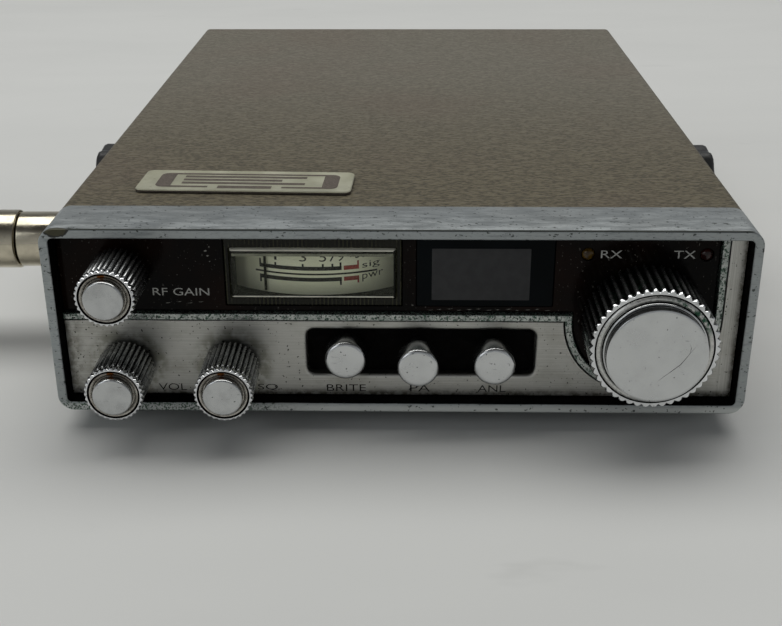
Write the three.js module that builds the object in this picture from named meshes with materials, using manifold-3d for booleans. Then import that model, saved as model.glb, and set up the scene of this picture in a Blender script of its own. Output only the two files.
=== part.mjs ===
// Mobile two-way radio transceiver for dashboard mounting, built as separate pieces.
// Millimetres. +X is to the right of a person facing the controls, -Y is towards that
// person, +Z is up. The origin is the centre of the bottom cover's underside.

import * as THREE from 'three';
import { mergeVertices } from 'three/addons/utils/BufferGeometryUtils.js';
import Module from 'manifold-3d';

const wasm = await Module();
wasm.setup();

// ---------------------------------------------------------------- driving dimensions

const GAP = 0.3; // clearance between pieces that touch
const FRONT_Y = -120; // plane of the bezel's front lip; depths are counted from here

const BEZEL_W = 165;
const BEZEL_H = 46.6;
const BEZEL_DEPTH = 16.8;
const BEZEL_LIP = 2.3;
const BEZEL_CORNER_R = 3.8;

const CASE_W = 163.6;
const CASE_TOP = 46.3;
const CASE_END = 235.3; // depth of the case's rear edge
const SHEET = 1.2; // sheet metal thickness
const CASE_CORNER_R = 2.2;
const TRAY_WALL_TOP = 11;

const PANEL_FRONT = 4; // depth of the satin escutcheon's face
const WINDOW_FRONT = 4.9;
const PANEL_BACK = 6.6;
const CARRIER_FRONT = PANEL_BACK + GAP;
const CARRIER_BACK = 9;
const CHASSIS_FRONT = BEZEL_DEPTH + GAP;

const TRIM_TOP = 24.2; // upper edge of the bright rib under the window
const TRIM_W = 1.7;
const DIAL_CENTRE = { x: 57.4, z: 22.6 }; // centre of the channel selector
const TRIM_ARC_R = 17.5; // centre line of the rib round the channel selector

const METER = { x0: -41, x1: 0.5, z0: 26, z1: 43.3, back: 53 };
const METER_PIVOT = { x: -20.25, depth: 41.8 };
const METER_SCALE_R = 33.6;
const METER_SCALE_HALF_ANGLE = 24;
const METER_ZERO_ANGLE = -20.3;

const DISPLAY = { x0: 4, x1: 35.9, z0: 26, z1: 43 };
const DISPLAY_MODULE = { x0: 7.2, x1: 29.9, z0: 28, z1: 41 };

const LED_R = 1.5;
const LEDS = { rx_led: 43.6, tx_led: 70.9 };
const LED_Z = 39.1;

const BUTTON_SLOT = { x0: -22.9, x1: 33, z0: 7.5, z1: 20.7, r: 2.5 };
const BUTTON_R = 4.85;
const BUTTON_LENGTH = 6;
const BUTTON_STEM_R = 2.75;
const BUTTON_Z = 14.1;
const BUTTONS = {
  brightness_button: { x: -12.8, face: -1.1 },
  pa_button: { x: 4.4, face: -4.9 },
  noise_limiter_button: { x: 22.3, face: -3.8 },
};

const SHAFT_R = 3;
const BUSHING_R = 4.4;
const SMALL_KNOB = { r: 6.9, front: -12, back: 3.2 };
const SMALL_CAP_RISE = 1.4; // how far a knob's polished disc stands in front of its rim
const SMALL_CONTROLS = {
  rf_gain: { x: -65.3, z: 34.6 },
  volume: { x: -65.6, z: 10.6 },
  squelch: { x: -40.3, z: 10.7 },
};
const CHANNEL_KNOB = { r: 14.8, capR: 11.8, capRise: 3, front: -12, back: 4.2 };

const SIDE_KNOB = { depth: 103, z: 23.3, r: 13, lobes: 8, reach: 94 };
const WASHER_T = 2.2;
const MIC = { depth: 55.7, z: 23.3, ringR: 7.6, shellR: 8.05, seam: -105, tail: -138 };

const FOOT = { r: 6.5, height: 5, x: 66, depths: [34, 216] };
const SPEAKER = { depth: 166, r: 38.5 };
const GROOVE = { x: 50, front: 58, back: 130, width: 2.5, height: 0.5 }; // round a panel of the underside
const PCB = { z: 30, t: 1.6, halfW: 75, front: 64, back: 226 };
const REAR_PANEL = 231.3; // depth of the rear panel's inner face

const BADGE = { w: 53.7, h: 16, x: -38.9, depth: 34, angle: -2, t: 0.7 };

// ---------------------------------------------------------------- geometry helpers

const inDepth = (depth) => FRONT_Y + depth;
const radians = THREE.MathUtils.degToRad;

// A three.js geometry as a closed solid: shared vertices merged, faces turned outwards.
function solid(geometry) {
  const bare = geometry.clone();
  bare.deleteAttribute('normal');
  bare.deleteAttribute('uv');
  const merged = mergeVertices(bare, 1e-4);
  const position = merged.attributes.position;
  const corner = [0, 1, 2].map(() => new THREE.Vector3());
  const triangles = [];
  let volume = 0;
  for (let i = 0; i < merged.index.count; i += 3) {
    const face = [0, 1, 2].map((k) => merged.index.getX(i + k));
    if (new Set(face).size < 3) continue;
    face.forEach((vertex, k) => corner[k].fromBufferAttribute(position, vertex));
    volume += corner[0].dot(corner[1].clone().cross(corner[2]));
    triangles.push(face);
  }
  if (volume < 0) triangles.forEach((face) => face.reverse());
  return new wasm.Manifold(new wasm.Mesh({
    numProp: 3,
    vertProperties: Float32Array.from(position.array),
    triVerts: Uint32Array.from(triangles.flat()),
  }));
}

function union(...solids) {
  return solids.reduce((whole, piece) => whole.add(piece));
}

function cut(body, ...tools) {
  return tools.reduce((left, tool) => left.subtract(tool), body);
}

// Box between two x values, two depths and two heights.
function box(x0, x1, depth0, depth1, z0, z1) {
  const geometry = new THREE.BoxGeometry(x1 - x0, depth1 - depth0, z1 - z0);
  geometry.translate((x0 + x1) / 2, inDepth((depth0 + depth1) / 2), (z0 + z1) / 2);
  return solid(geometry);
}

// Outline drawn in x and z, extruded from one depth to another.
function alongDepth(shape, depth0, depth1, curveSegments = 6) {
  const geometry = new THREE.ExtrudeGeometry(shape, {
    depth: depth1 - depth0,
    bevelEnabled: false,
    curveSegments,
  });
  geometry.rotateX(Math.PI / 2);
  geometry.translate(0, inDepth(depth1), 0);
  return solid(geometry);
}

// Flat plate lying across the depth, with its holes cut out.
function plate(outline, holes, depth0, depth1, curveSegments = 6) {
  const tools = holes.map((hole) => alongDepth(hole, depth0 - 1, depth1 + 1, curveSegments));
  return cut(alongDepth(outline, depth0, depth1, curveSegments), ...tools);
}

// Outline drawn in y and z, extruded from one x to another.
function alongX(shape, x0, x1, curveSegments = 6) {
  const geometry = new THREE.ExtrudeGeometry(shape, {
    depth: x1 - x0,
    bevelEnabled: false,
    curveSegments,
  });
  const axes = [new THREE.Vector3(0, 1, 0), new THREE.Vector3(0, 0, 1), new THREE.Vector3(1, 0, 0)];
  geometry.applyMatrix4(new THREE.Matrix4().makeBasis(...axes));
  geometry.translate(x0, 0, 0);
  return solid(geometry);
}

// Outline drawn in x and y, extruded from one height to another.
function alongZ(shape, z0, z1, curveSegments = 6) {
  const geometry = new THREE.ExtrudeGeometry(shape, {
    depth: z1 - z0,
    bevelEnabled: false,
    curveSegments,
  });
  geometry.translate(0, 0, z0);
  return solid(geometry);
}

// Turned piece. profile is a list of [radius, distance along the axis].
function turned(profile, segments) {
  return new THREE.LatheGeometry(profile.map(([r, a]) => new THREE.Vector2(r, a)), segments);
}

// Turned piece whose axis runs in depth through x, z; distances are depths.
function turnedInDepth(profile, x, z, segments = 24) {
  const geometry = turned(profile.map(([r, depth]) => [r, inDepth(depth)]), segments);
  geometry.translate(x, 0, z);
  return solid(geometry);
}

// Turned piece whose axis runs along x through a depth and a height; distances are x values.
function turnedAlongX(profile, depth, z, segments = 24) {
  const geometry = turned(profile, segments);
  geometry.rotateZ(-Math.PI / 2);
  geometry.translate(0, inDepth(depth), z);
  return solid(geometry);
}

// Turned piece with an upright axis through x and a depth; distances are heights.
function turnedUpright(profile, x, depth, segments = 24) {
  const geometry = turned(profile, segments);
  geometry.rotateX(Math.PI / 2);
  geometry.translate(x, inDepth(depth), 0);
  return solid(geometry);
}

// Profile of a plain rod.
const rod = (r, a0, a1) => [[0, a0], [r, a0], [r, a1], [0, a1]];

function rectangle(x0, x1, y0, y1, r = 0) {
  const shape = new THREE.Shape();
  shape.moveTo(x0 + r, y0);
  shape.lineTo(x1 - r, y0);
  if (r) shape.absarc(x1 - r, y0 + r, r, -Math.PI / 2, 0, false);
  else shape.lineTo(x1, y1);
  if (r) shape.absarc(x1 - r, y1 - r, r, 0, Math.PI / 2, false);
  else shape.lineTo(x0, y1);
  if (r) shape.absarc(x0 + r, y1 - r, r, Math.PI / 2, Math.PI, false);
  if (r) shape.absarc(x0 + r, y0 + r, r, Math.PI, 1.5 * Math.PI, false);
  return shape;
}

function circle(x, y, r) {
  const shape = new THREE.Shape();
  shape.absarc(x, y, r, 0, 2 * Math.PI, false);
  return shape;
}

function polygon(points) {
  return new THREE.Shape(points.map(([x, y]) => new THREE.Vector2(x, y)));
}

// Round outline with pointed teeth, as on a knurled or fluted grip.
function toothed(x, y, tipR, rootR, count) {
  const points = [];
  for (let step = 0; step < 2 * count; step += 1) {
    const angle = (step * Math.PI) / count;
    const r = step % 2 ? rootR : tipR;
    points.push([x + r * Math.cos(angle), y + r * Math.sin(angle)]);
  }
  return polygon(points);
}

// ---------------------------------------------------------------- materials and nodes

const FINISHES = {
  bezel_metal: [0x9a9ea2, 0.35, 0.9],
  satin_plate: [0xb9b4ab, 0.35, 0.85],
  bright_trim: [0xd5d6d6, 0.2, 1],
  chrome: [0xe3e3e6, 0.12, 1],
  black_plastic: [0x141414, 0.45, 0],
  smoked_window: [0x060606, 0.1, 0],
  clear_plastic: [0xd9dccf, 0.1, 0],
  dial_card: [0xc9c7a2, 0.6, 0],
  display_dark: [0x10151c, 0.1, 0],
  display_grey: [0x4b5158, 0.5, 0],
  amber_led: [0x8a5a10, 0.25, 0],
  red_led: [0x4a1512, 0.25, 0],
  vinyl: [0x6f6153, 0.7, 0],
  black_steel: [0x1a1a1b, 0.5, 0.2],
  plated_steel: [0xa7a9a3, 0.4, 0.9],
  zinc_steel: [0x9a958a, 0.45, 0.8],
  black_rubber: [0x1c1c1c, 0.85, 0],
  nickel: [0xb6ad98, 0.2, 1],
  circuit_board: [0x6a5a28, 0.5, 0],
  speaker_paper: [0x2a2724, 0.9, 0],
  aluminium: [0x8d9092, 0.45, 0.9],
  badge_plate: [0xc8bf9b, 0.45, 0.3],
};

const radio = new THREE.Group();

function add(name, finish, body) {
  const { vertProperties, triVerts } = body.getMesh();
  const geometry = new THREE.BufferGeometry();
  geometry.setAttribute('position', new THREE.BufferAttribute(vertProperties, 3));
  geometry.setIndex(new THREE.BufferAttribute(triVerts, 1));
  geometry.computeVertexNormals();
  const [color, roughness, metalness] = FINISHES[finish];
  const material = new THREE.MeshStandardMaterial({ color, roughness, metalness });
  const mesh = new THREE.Mesh(geometry, material);
  mesh.name = name;
  radio.add(mesh);
}

// ---------------------------------------------------------------- front face

const INNER = {
  x: BEZEL_W / 2 - BEZEL_LIP,
  z0: BEZEL_LIP,
  z1: BEZEL_H - BEZEL_LIP,
};
const FIT = { x: INNER.x - GAP, z0: INNER.z0 + GAP, z1: INNER.z1 - GAP };
const CONTROLS = Object.values(SMALL_CONTROLS);

function makeBezel() {
  const chamfer = 0.6;
  const face = rectangle(
    -BEZEL_W / 2 + chamfer, BEZEL_W / 2 - chamfer, chamfer, BEZEL_H - chamfer, BEZEL_CORNER_R - chamfer,
  );
  const geometry = new THREE.ExtrudeGeometry(face, {
    depth: BEZEL_DEPTH - 2 * chamfer,
    bevelThickness: chamfer,
    bevelSize: chamfer,
    bevelSegments: 1,
    curveSegments: 4,
  });
  geometry.rotateX(Math.PI / 2);
  geometry.translate(0, inDepth(BEZEL_DEPTH - chamfer), 0);
  const opening = rectangle(-INNER.x, INNER.x, INNER.z0, INNER.z1, 1);
  add('front_bezel', 'bezel_metal', cut(solid(geometry), alongDepth(opening, -1, BEZEL_DEPTH + 1, 3)));
}

// U-shaped curve round the lower half of the channel selector, from the left side to the right.
function selectorArc(shape, r) {
  shape.absarc(DIAL_CENTRE.x, DIAL_CENTRE.z, r, Math.PI, 2 * Math.PI, false);
}

function makeEscutcheon() {
  const r = TRIM_ARC_R + TRIM_W / 2 + GAP;
  const top = TRIM_TOP - TRIM_W - GAP;
  const arcStart = Math.PI + Math.asin((DIAL_CENTRE.z - top) / r);
  const outline = new THREE.Shape();
  outline.moveTo(-FIT.x, FIT.z0);
  outline.lineTo(-FIT.x, top);
  outline.absarc(DIAL_CENTRE.x, DIAL_CENTRE.z, r, arcStart, 2 * Math.PI, false);
  outline.lineTo(DIAL_CENTRE.x + r, FIT.z1);
  outline.lineTo(FIT.x, FIT.z1);
  outline.lineTo(FIT.x, FIT.z0);
  const slot = BUTTON_SLOT;
  const holes = [rectangle(slot.x0, slot.x1, slot.z0, slot.z1, slot.r)];
  for (const { x, z } of [SMALL_CONTROLS.volume, SMALL_CONTROLS.squelch]) {
    holes.push(circle(x, z, BUSHING_R));
  }
  add('escutcheon', 'satin_plate', plate(outline, holes, PANEL_FRONT, PANEL_BACK, 7));
}

function makeWindowTrim() {
  const outer = TRIM_ARC_R + TRIM_W / 2;
  const inner = TRIM_ARC_R - TRIM_W / 2;
  const low = TRIM_TOP - TRIM_W;
  const { x, z } = DIAL_CENTRE;
  const rib = new THREE.Shape();
  rib.moveTo(-FIT.x, TRIM_TOP);
  rib.lineTo(x - inner, TRIM_TOP);
  selectorArc(rib, inner);
  rib.lineTo(x + inner, FIT.z1);
  rib.lineTo(x + outer, FIT.z1);
  rib.absarc(x, z, outer, 0, -Math.PI + Math.asin((z - low) / outer), true);
  rib.lineTo(-FIT.x, low);
  add('window_trim', 'bright_trim', alongDepth(rib, PANEL_FRONT - 0.5, PANEL_BACK, 9));
}

const clearanceAround = ({ x0, x1, z0, z1 }) => rectangle(x0 - GAP, x1 + GAP, z0 - GAP, z1 + GAP);
const ledHoles = () => Object.values(LEDS).map((x) => circle(x, LED_Z, LED_R + GAP));
const stemHoles = () => Object.values(BUTTONS).map(({ x }) => circle(x, BUTTON_Z, BUTTON_STEM_R + GAP));
const bushingHoles = () => [...CONTROLS, DIAL_CENTRE].map(({ x, z }) => circle(x, z, BUSHING_R + GAP));

function makeWindow() {
  const { x, z } = DIAL_CENTRE;
  const r = TRIM_ARC_R - TRIM_W / 2 - GAP;
  const pane = new THREE.Shape();
  pane.moveTo(-FIT.x, TRIM_TOP + GAP);
  pane.lineTo(x - r, TRIM_TOP + GAP);
  selectorArc(pane, r);
  pane.lineTo(x + r, FIT.z1);
  pane.lineTo(-FIT.x, FIT.z1);
  const holes = [
    clearanceAround(METER),
    clearanceAround(DISPLAY),
    ...ledHoles(),
    circle(SMALL_CONTROLS.rf_gain.x, SMALL_CONTROLS.rf_gain.z, BUSHING_R),
    circle(x, z, BUSHING_R),
  ];
  add('window', 'smoked_window', plate(pane, holes, WINDOW_FRONT, PANEL_BACK, 8));
}

// Black moulding that carries the plate, the window and everything that shows through them.
function makeCarrier() {
  const outline = rectangle(-FIT.x, FIT.x, FIT.z0, FIT.z1);
  const holes = [
    clearanceAround(METER),
    clearanceAround(DISPLAY_MODULE),
    ...ledHoles(),
    ...stemHoles(),
    ...bushingHoles(),
  ];
  add('front_carrier', 'black_plastic', plate(outline, holes, CARRIER_FRONT, CARRIER_BACK, 5));
}

// ---------------------------------------------------------------- meter

function makeMeter() {
  const { x0, x1, z0, z1, back } = METER;
  const wall = 1.2;
  const shell = cut(
    box(x0, x1, CARRIER_FRONT, back, z0, z1),
    box(x0 + wall, x1 - wall, CARRIER_FRONT - 1, back - wall, z0 + wall, z1 - wall),
  );
  add('meter_case', 'black_plastic', shell);

  // Lens with a raised middle field, so its upper and lower edges catch the light.
  const field = box(x0 + 1.5, x1 - 1.5, WINDOW_FRONT - 0.8, WINDOW_FRONT + 0.5, 28.2, 40.3);
  add('meter_lens', 'clear_plastic', union(box(x0, x1, WINDOW_FRONT - 0.2, PANEL_BACK, z0, z1), field));

  const half = radians(METER_SCALE_HALF_ANGLE);
  const centreY = inDepth(METER_PIVOT.depth);
  const card = new THREE.Shape();
  const forward = -Math.PI / 2;
  card.absarc(METER_PIVOT.x, centreY, METER_SCALE_R, forward - half, forward + half, false);
  card.absarc(METER_PIVOT.x, centreY, METER_SCALE_R - 0.6, forward + half, forward - half, true);
  add('meter_dial', 'dial_card', alongZ(card, z0 + 1.5, 40.2, 8));

  const movement = [[0, z0 + 1.5], [9, z0 + 1.5], [9, 39], [0, 39]];
  add('meter_movement', 'plated_steel', turnedUpright(movement, METER_PIVOT.x, METER_PIVOT.depth, 20));

  // Pointer: a hub over the movement, an arm over the dial's upper edge and an upright blade.
  const bladeR = METER_SCALE_R + 0.6;
  const pieces = [
    new THREE.BoxGeometry(0.5, 0.4, 13.2).translate(0, -bladeR, 34.4),
    new THREE.BoxGeometry(0.8, bladeR, 0.5).translate(0, -bladeR / 2 + 0.2, 40.75),
    new THREE.CylinderGeometry(1.6, 1.6, 1.6, 12).rotateX(Math.PI / 2).translate(0, 0, 40.2),
  ];
  const turn = radians(METER_ZERO_ANGLE);
  const placed = pieces.map((piece) => solid(piece.rotateZ(turn).translate(METER_PIVOT.x, centreY, 0)));
  add('meter_pointer', 'black_steel', union(...placed));
}

// ---------------------------------------------------------------- display and indicator lamps

function makeDisplay() {
  const glass = DISPLAY;
  const pane = box(glass.x0, glass.x1, WINDOW_FRONT - 0.3, PANEL_BACK, glass.z0, glass.z1);
  add('display_glass', 'display_dark', pane);
  const module = DISPLAY_MODULE;
  add('display_module', 'display_grey', box(module.x0, module.x1, CARRIER_FRONT, 15.5, module.z0, module.z1));
}

function makeLeds() {
  const profile = [
    [0, WINDOW_FRONT - 0.6], [0.9, WINDOW_FRONT - 0.3], [LED_R, WINDOW_FRONT + 0.6],
    [LED_R, CARRIER_BACK + GAP], [2, CARRIER_BACK + GAP], [2, CARRIER_BACK + 1.3], [0, CARRIER_BACK + 1.3],
  ];
  add('rx_led', 'amber_led', turnedInDepth(profile, LEDS.rx_led, LED_Z, 12));
  add('tx_led', 'red_led', turnedInDepth(profile, LEDS.tx_led, LED_Z, 12));
}

// ---------------------------------------------------------------- push buttons

const SWITCH_BANK = { x0: -20, x1: 29.5, z0: 8, z1: 20.2, front: 19.5, back: 38 };

function makeButtons() {
  const stemEnd = SWITCH_BANK.front + 6;
  for (const [name, { x, face }] of Object.entries(BUTTONS)) {
    const profile = [
      [0, face], [BUTTON_R - 0.8, face], [BUTTON_R, face + 0.8], [BUTTON_R, face + BUTTON_LENGTH],
      [BUTTON_STEM_R, face + BUTTON_LENGTH], [BUTTON_STEM_R, stemEnd], [0, stemEnd],
    ];
    add(name, 'chrome', turnedInDepth(profile, x, BUTTON_Z, 20));
  }
  const { x0, x1, z0, z1, front, back } = SWITCH_BANK;
  const wells = Object.values(BUTTONS).map(({ x }) => (
    turnedInDepth(rod(BUTTON_STEM_R + GAP, front - 1, front + 12), x, BUTTON_Z, 12)
  ));
  add('push_switch_bank', 'zinc_steel', cut(box(x0, x1, front, back, z0, z1), ...wells));
}

// ---------------------------------------------------------------- rotary controls

// Profile of a rotary control: a threaded bushing round the shaft, and a can behind the chassis.
function controlProfile(canR, canLength, shaftEnd) {
  const boreR = SHAFT_R + GAP;
  const canFront = CHASSIS_FRONT + SHEET + GAP;
  const canBack = canFront + canLength;
  return [
    [boreR, CARRIER_FRONT], [BUSHING_R, CARRIER_FRONT], [BUSHING_R, canFront], [canR, canFront],
    [canR, canBack], [0, canBack], [0, shaftEnd + GAP], [boreR, shaftEnd + GAP], [boreR, CARRIER_FRONT],
  ];
}

function makeSmallControl(name, { x, z }) {
  const { r, front, back } = SMALL_KNOB;
  const capR = r - 2.2;
  const grip = alongDepth(toothed(x, z, r - 0.2, r - 1.2, 20), front + 1.8, back);
  const flange = turnedInDepth(rod(r, front, front + 2), x, z, 28);
  const recess = turnedInDepth(rod(capR + GAP, front - 1, front + 0.8), x, z, 20);
  const bore = turnedInDepth(rod(SHAFT_R + GAP, front + 5, back + 1), x, z, 12);
  add(`${name}_knob`, 'chrome', cut(union(grip, flange), recess, bore));

  const face = front - SMALL_CAP_RISE;
  const disc = [[0, face], [capR - 0.5, face], [capR, front], [capR, front + 0.5], [0, front + 0.5]];
  add(`${name}_knob_cap`, 'chrome', turnedInDepth(disc, x, z, 20));

  const shaftEnd = 33;
  add(`${name}_shaft`, 'aluminium', turnedInDepth(rod(SHAFT_R, front + 5.3, shaftEnd), x, z, 12));
  add(`${name}_control`, 'zinc_steel', turnedInDepth(controlProfile(8.2, 17, shaftEnd), x, z, 12));
}

function makeChannelSelector() {
  const { x, z } = DIAL_CENTRE;
  const { r, capR, capRise, front, back } = CHANNEL_KNOB;
  const skirt = alongDepth(toothed(x, z, r, r - 1.1, 46), front + 2.6, back);
  const ringR = r - 1.3;
  const ring = [[0, front], [capR + 0.6, front], [ringR, front + 1.4], [ringR, front + 3], [0, front + 3]];
  const nose = turnedInDepth(ring, x, z, 32);
  const recess = turnedInDepth(rod(capR + GAP, front - 1, front + 0.9), x, z, 32);
  const bore = turnedInDepth(rod(SHAFT_R + GAP, front + 5, back + 1), x, z, 12);
  add('channel_knob', 'chrome', cut(union(skirt, nose), recess, bore));

  const face = front - capRise;
  const disc = [
    [0, face], [capR - 1.8, face], [capR - 0.6, face + 0.8],
    [capR, front], [capR, front + 0.6], [0, front + 0.6],
  ];
  add('channel_knob_cap', 'chrome', turnedInDepth(disc, x, z, 32));

  const shaftEnd = 36;
  add('channel_shaft', 'aluminium', turnedInDepth(rod(SHAFT_R, front + 5.3, shaftEnd), x, z, 12));
  add('channel_switch', 'zinc_steel', turnedInDepth(controlProfile(15, 20, shaftEnd), x, z, 12));
}

// ---------------------------------------------------------------- covers and chassis

const SIDES = { left: -1, right: 1 };
const span = (sign, near, far) => [sign * near, sign * far].sort((a, b) => a - b);
const RAIL_X = CASE_W / 2 - 2 * (SHEET + GAP); // outer face of a chassis rail

const MIC_HOLE_R = 8.3;
const COVER_SCREW = { r: 1.7, z: 8, depths: [30, 205] };

function studHole(r) {
  return turnedAlongX(rod(r, -CASE_W, CASE_W), SIDE_KNOB.depth, SIDE_KNOB.z, 12);
}

function makeTopCover() {
  const w = CASE_W / 2;
  const r = CASE_CORNER_R;
  const skirt = 1.5;
  const section = new THREE.Shape();
  section.moveTo(-w, skirt);
  section.lineTo(-w + SHEET, skirt);
  section.lineTo(-w + SHEET, CASE_TOP - SHEET);
  section.lineTo(w - SHEET, CASE_TOP - SHEET);
  section.lineTo(w - SHEET, skirt);
  section.lineTo(w, skirt);
  section.absarc(w - r, CASE_TOP - r, r, 0, Math.PI / 2, false);
  section.absarc(-w + r, CASE_TOP - r, r, Math.PI / 2, Math.PI, false);
  const shell = alongDepth(section, CHASSIS_FRONT, CASE_END, 4);
  const micHole = turnedAlongX(rod(MIC_HOLE_R, -w - 5, -w + 5), MIC.depth, MIC.z, 16);
  const screwHoles = COVER_SCREW.depths.map((depth) => (
    turnedAlongX(rod(COVER_SCREW.r, -CASE_W, CASE_W), depth, COVER_SCREW.z, 12)
  ));
  add('top_cover', 'vinyl', cut(shell, studHole(2.9), micHole, ...screwHoles));
}

function makeBottomCover() {
  const w = CASE_W / 2 - SHEET - GAP;
  const section = polygon([
    [-w, 0], [w, 0], [w, TRAY_WALL_TOP], [w - SHEET, TRAY_WALL_TOP], [w - SHEET, SHEET],
    [-w + SHEET, SHEET], [-w + SHEET, TRAY_WALL_TOP], [-w, TRAY_WALL_TOP],
  ]);
  const slots = [];
  const rows = 9;
  const slotPitch = 7;
  for (let row = 0; row < rows; row += 1) {
    const offset = (row - (rows - 1) / 2) * slotPitch;
    const half = Math.sqrt((SPEAKER.r - 4) ** 2 - offset ** 2);
    slots.push(box(-half, half, SPEAKER.depth + offset - 1.5, SPEAKER.depth + offset + 1.5, -1, SHEET + 1));
  }
  const { x, front, back, width, height } = GROOVE;
  const groove = cut(
    box(-x - width, x + width, front - width, back + width, -1, height),
    box(-x, x, front, back, -2, height + 1),
  );
  const tray = alongDepth(section, CHASSIS_FRONT, CASE_END - 0.5);
  add('bottom_cover', 'black_steel', cut(tray, groove, ...slots));
}

function makeChassis() {
  const outline = rectangle(-RAIL_X, RAIL_X, 2, CASE_TOP - 1.8);
  const holes = [clearanceAround(METER), ...stemHoles(), ...bushingHoles()];
  const wall = plate(outline, holes, CHASSIS_FRONT, CHASSIS_FRONT + SHEET, 5);
  add('front_chassis_plate', 'plated_steel', wall);

  // Each rail is an upright strip with a ledge that the main board rests on.
  const ledgeTop = PCB.z - GAP;
  for (const [side, sign] of Object.entries(SIDES)) {
    const strip = span(sign, RAIL_X - SHEET, RAIL_X);
    const ledge = span(sign, RAIL_X - 9, RAIL_X - SHEET / 2);
    const rail = union(
      box(...strip, CHASSIS_FRONT + SHEET + GAP, REAR_PANEL - GAP, 2, CASE_TOP - 1.8),
      box(...ledge, PCB.front, PCB.back, ledgeTop - SHEET, ledgeTop),
    );
    const micHole = turnedAlongX(rod(MIC_HOLE_R, -RAIL_X - 5, -RAIL_X + 9.5), MIC.depth, MIC.z, 16);
    add(`${side}_rail`, 'plated_steel', cut(rail, studHole(2.9), micHole));
  }
}

function makeBoard() {
  const top = PCB.z + PCB.t;
  const pieces = [box(-PCB.halfW, PCB.halfW, PCB.front, PCB.back, PCB.z, top)];
  const coilCans = 5;
  for (let i = 0; i < coilCans; i += 1) {
    const x = -58 + i * 16;
    pieces.push(box(x, x + 8, 84, 92, top - 0.5, top + 11));
    pieces.push(box(x + 5, x + 13, 112, 120, top - 0.5, top + 11));
  }
  pieces.push(box(30, 66, 76, 118, top - 0.5, top + 10)); // synthesiser shield can
  pieces.push(box(-62, -34, 180, 204, top - 0.5, top + 12)); // audio transformer
  for (const x of [-12, 6]) {
    pieces.push(turnedUpright(rod(5.5, top - 0.5, top + 11.5), x, 196, 16)); // smoothing capacitors
  }
  add('main_board', 'circuit_board', union(...pieces));
}

function makeSpeaker() {
  const seat = SHEET + GAP;
  const { r, depth } = SPEAKER;
  const frame = [
    [r - 5, seat], [r, seat], [r, seat + 1.5], [r - 4, seat + 1.5], [18, seat + 15], [18, seat + 24],
    [0, seat + 24], [0, seat + 17.2], [14, seat + 17.2], [r - 5, seat],
  ];
  add('speaker_frame', 'plated_steel', turnedUpright(frame, 0, depth, 20));
  const cone = [
    [0, seat + 13], [8, seat + 13], [r - 9, seat + 1], [r - 7.7, seat + 1], [r - 8.2, seat + 1.8],
    [9, seat + 15.5], [0, seat + 15.5],
  ];
  add('speaker_cone', 'speaker_paper', turnedUpright(cone, 0, depth, 20));
}

// ---------------------------------------------------------------- side hardware and microphone plug

function makeSideKnobs() {
  const wall = CASE_W / 2;
  const { depth, z, r, lobes, reach } = SIDE_KNOB;
  for (const [side, sign] of Object.entries(SIDES)) {
    const outline = new THREE.Shape();
    const steps = lobes * 6;
    for (let i = 0; i < steps; i += 1) {
      const angle = (i / steps) * 2 * Math.PI;
      const bump = r - 0.75 + 0.75 * Math.cos(lobes * (angle - Math.PI / 2) + Math.PI);
      const y = inDepth(depth) + bump * Math.cos(angle);
      if (i === 0) outline.moveTo(y, z + bump * Math.sin(angle));
      else outline.lineTo(y, z + bump * Math.sin(angle));
    }
    const head = alongX(outline, ...span(sign, wall + WASHER_T + 2 * GAP, reach));
    const stud = turnedAlongX(rod(2.5, ...span(sign, wall - 8, reach - 1.5)), depth, z, 12);
    const dimple = turnedAlongX(rod(6, ...span(sign, reach - 1.2, reach + 1)), depth, z, 16);
    add(`${side}_bracket_knob`, 'black_plastic', cut(union(head, stud), dimple));

    const [a, b] = span(sign, wall + GAP, wall + GAP + WASHER_T);
    const washer = [[2.9, a], [9.5, a], [9.5, b], [2.9, b], [2.9, a]];
    add(`${side}_bracket_washer`, 'black_rubber', turnedAlongX(washer, depth, z, 16));
  }
}

function makeMicrophoneConnector() {
  const wall = -CASE_W / 2;
  const { depth, z, ringR, shellR, seam, tail } = MIC;
  const flange = wall - GAP;
  const mouth = -93;
  const socket = [
    [0, -68], [7.8, -68], [7.8, flange], [9, flange], [9, flange - 1.5], [6, flange - 1.5],
    [6, mouth], [4.9, mouth], [4.9, -80], [0, -80],
  ];
  add('mic_socket', 'nickel', turnedAlongX(socket, depth, z, 16));

  const ringFront = flange - 1.5 - GAP;
  const ring = [
    [6.3, ringFront], [ringR, ringFront], [ringR, seam], [6, seam], [6, seam + 4], [6.3, seam + 4],
    [6.3, ringFront],
  ];
  add('mic_plug_ring', 'nickel', turnedAlongX(ring, depth, z, 20));

  const cableR = 3.3;
  const shell = [
    [0, -81], [4.6, -81], [4.6, mouth - 0.5], [5.7, mouth - 0.5], [5.7, seam - GAP], [shellR, seam - GAP],
    [shellR, tail + 10], [5.6, tail + 3], [5.2, tail], [cableR, tail], [cableR, tail + 14], [0, tail + 14],
  ];
  add('mic_plug_shell', 'nickel', turnedAlongX(shell, depth, z, 20));
}

// ---------------------------------------------------------------- rear panel

const REAR = {
  antenna: { x: 46, z: 22 },
  power: { x: -52, z: 20 },
  speaker_jack: { x: -24, z: 14 },
  pa_jack: { x: -10, z: 14 },
  sink: { x0: 2, x1: 32, z0: 6, z1: 40 },
};

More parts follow.
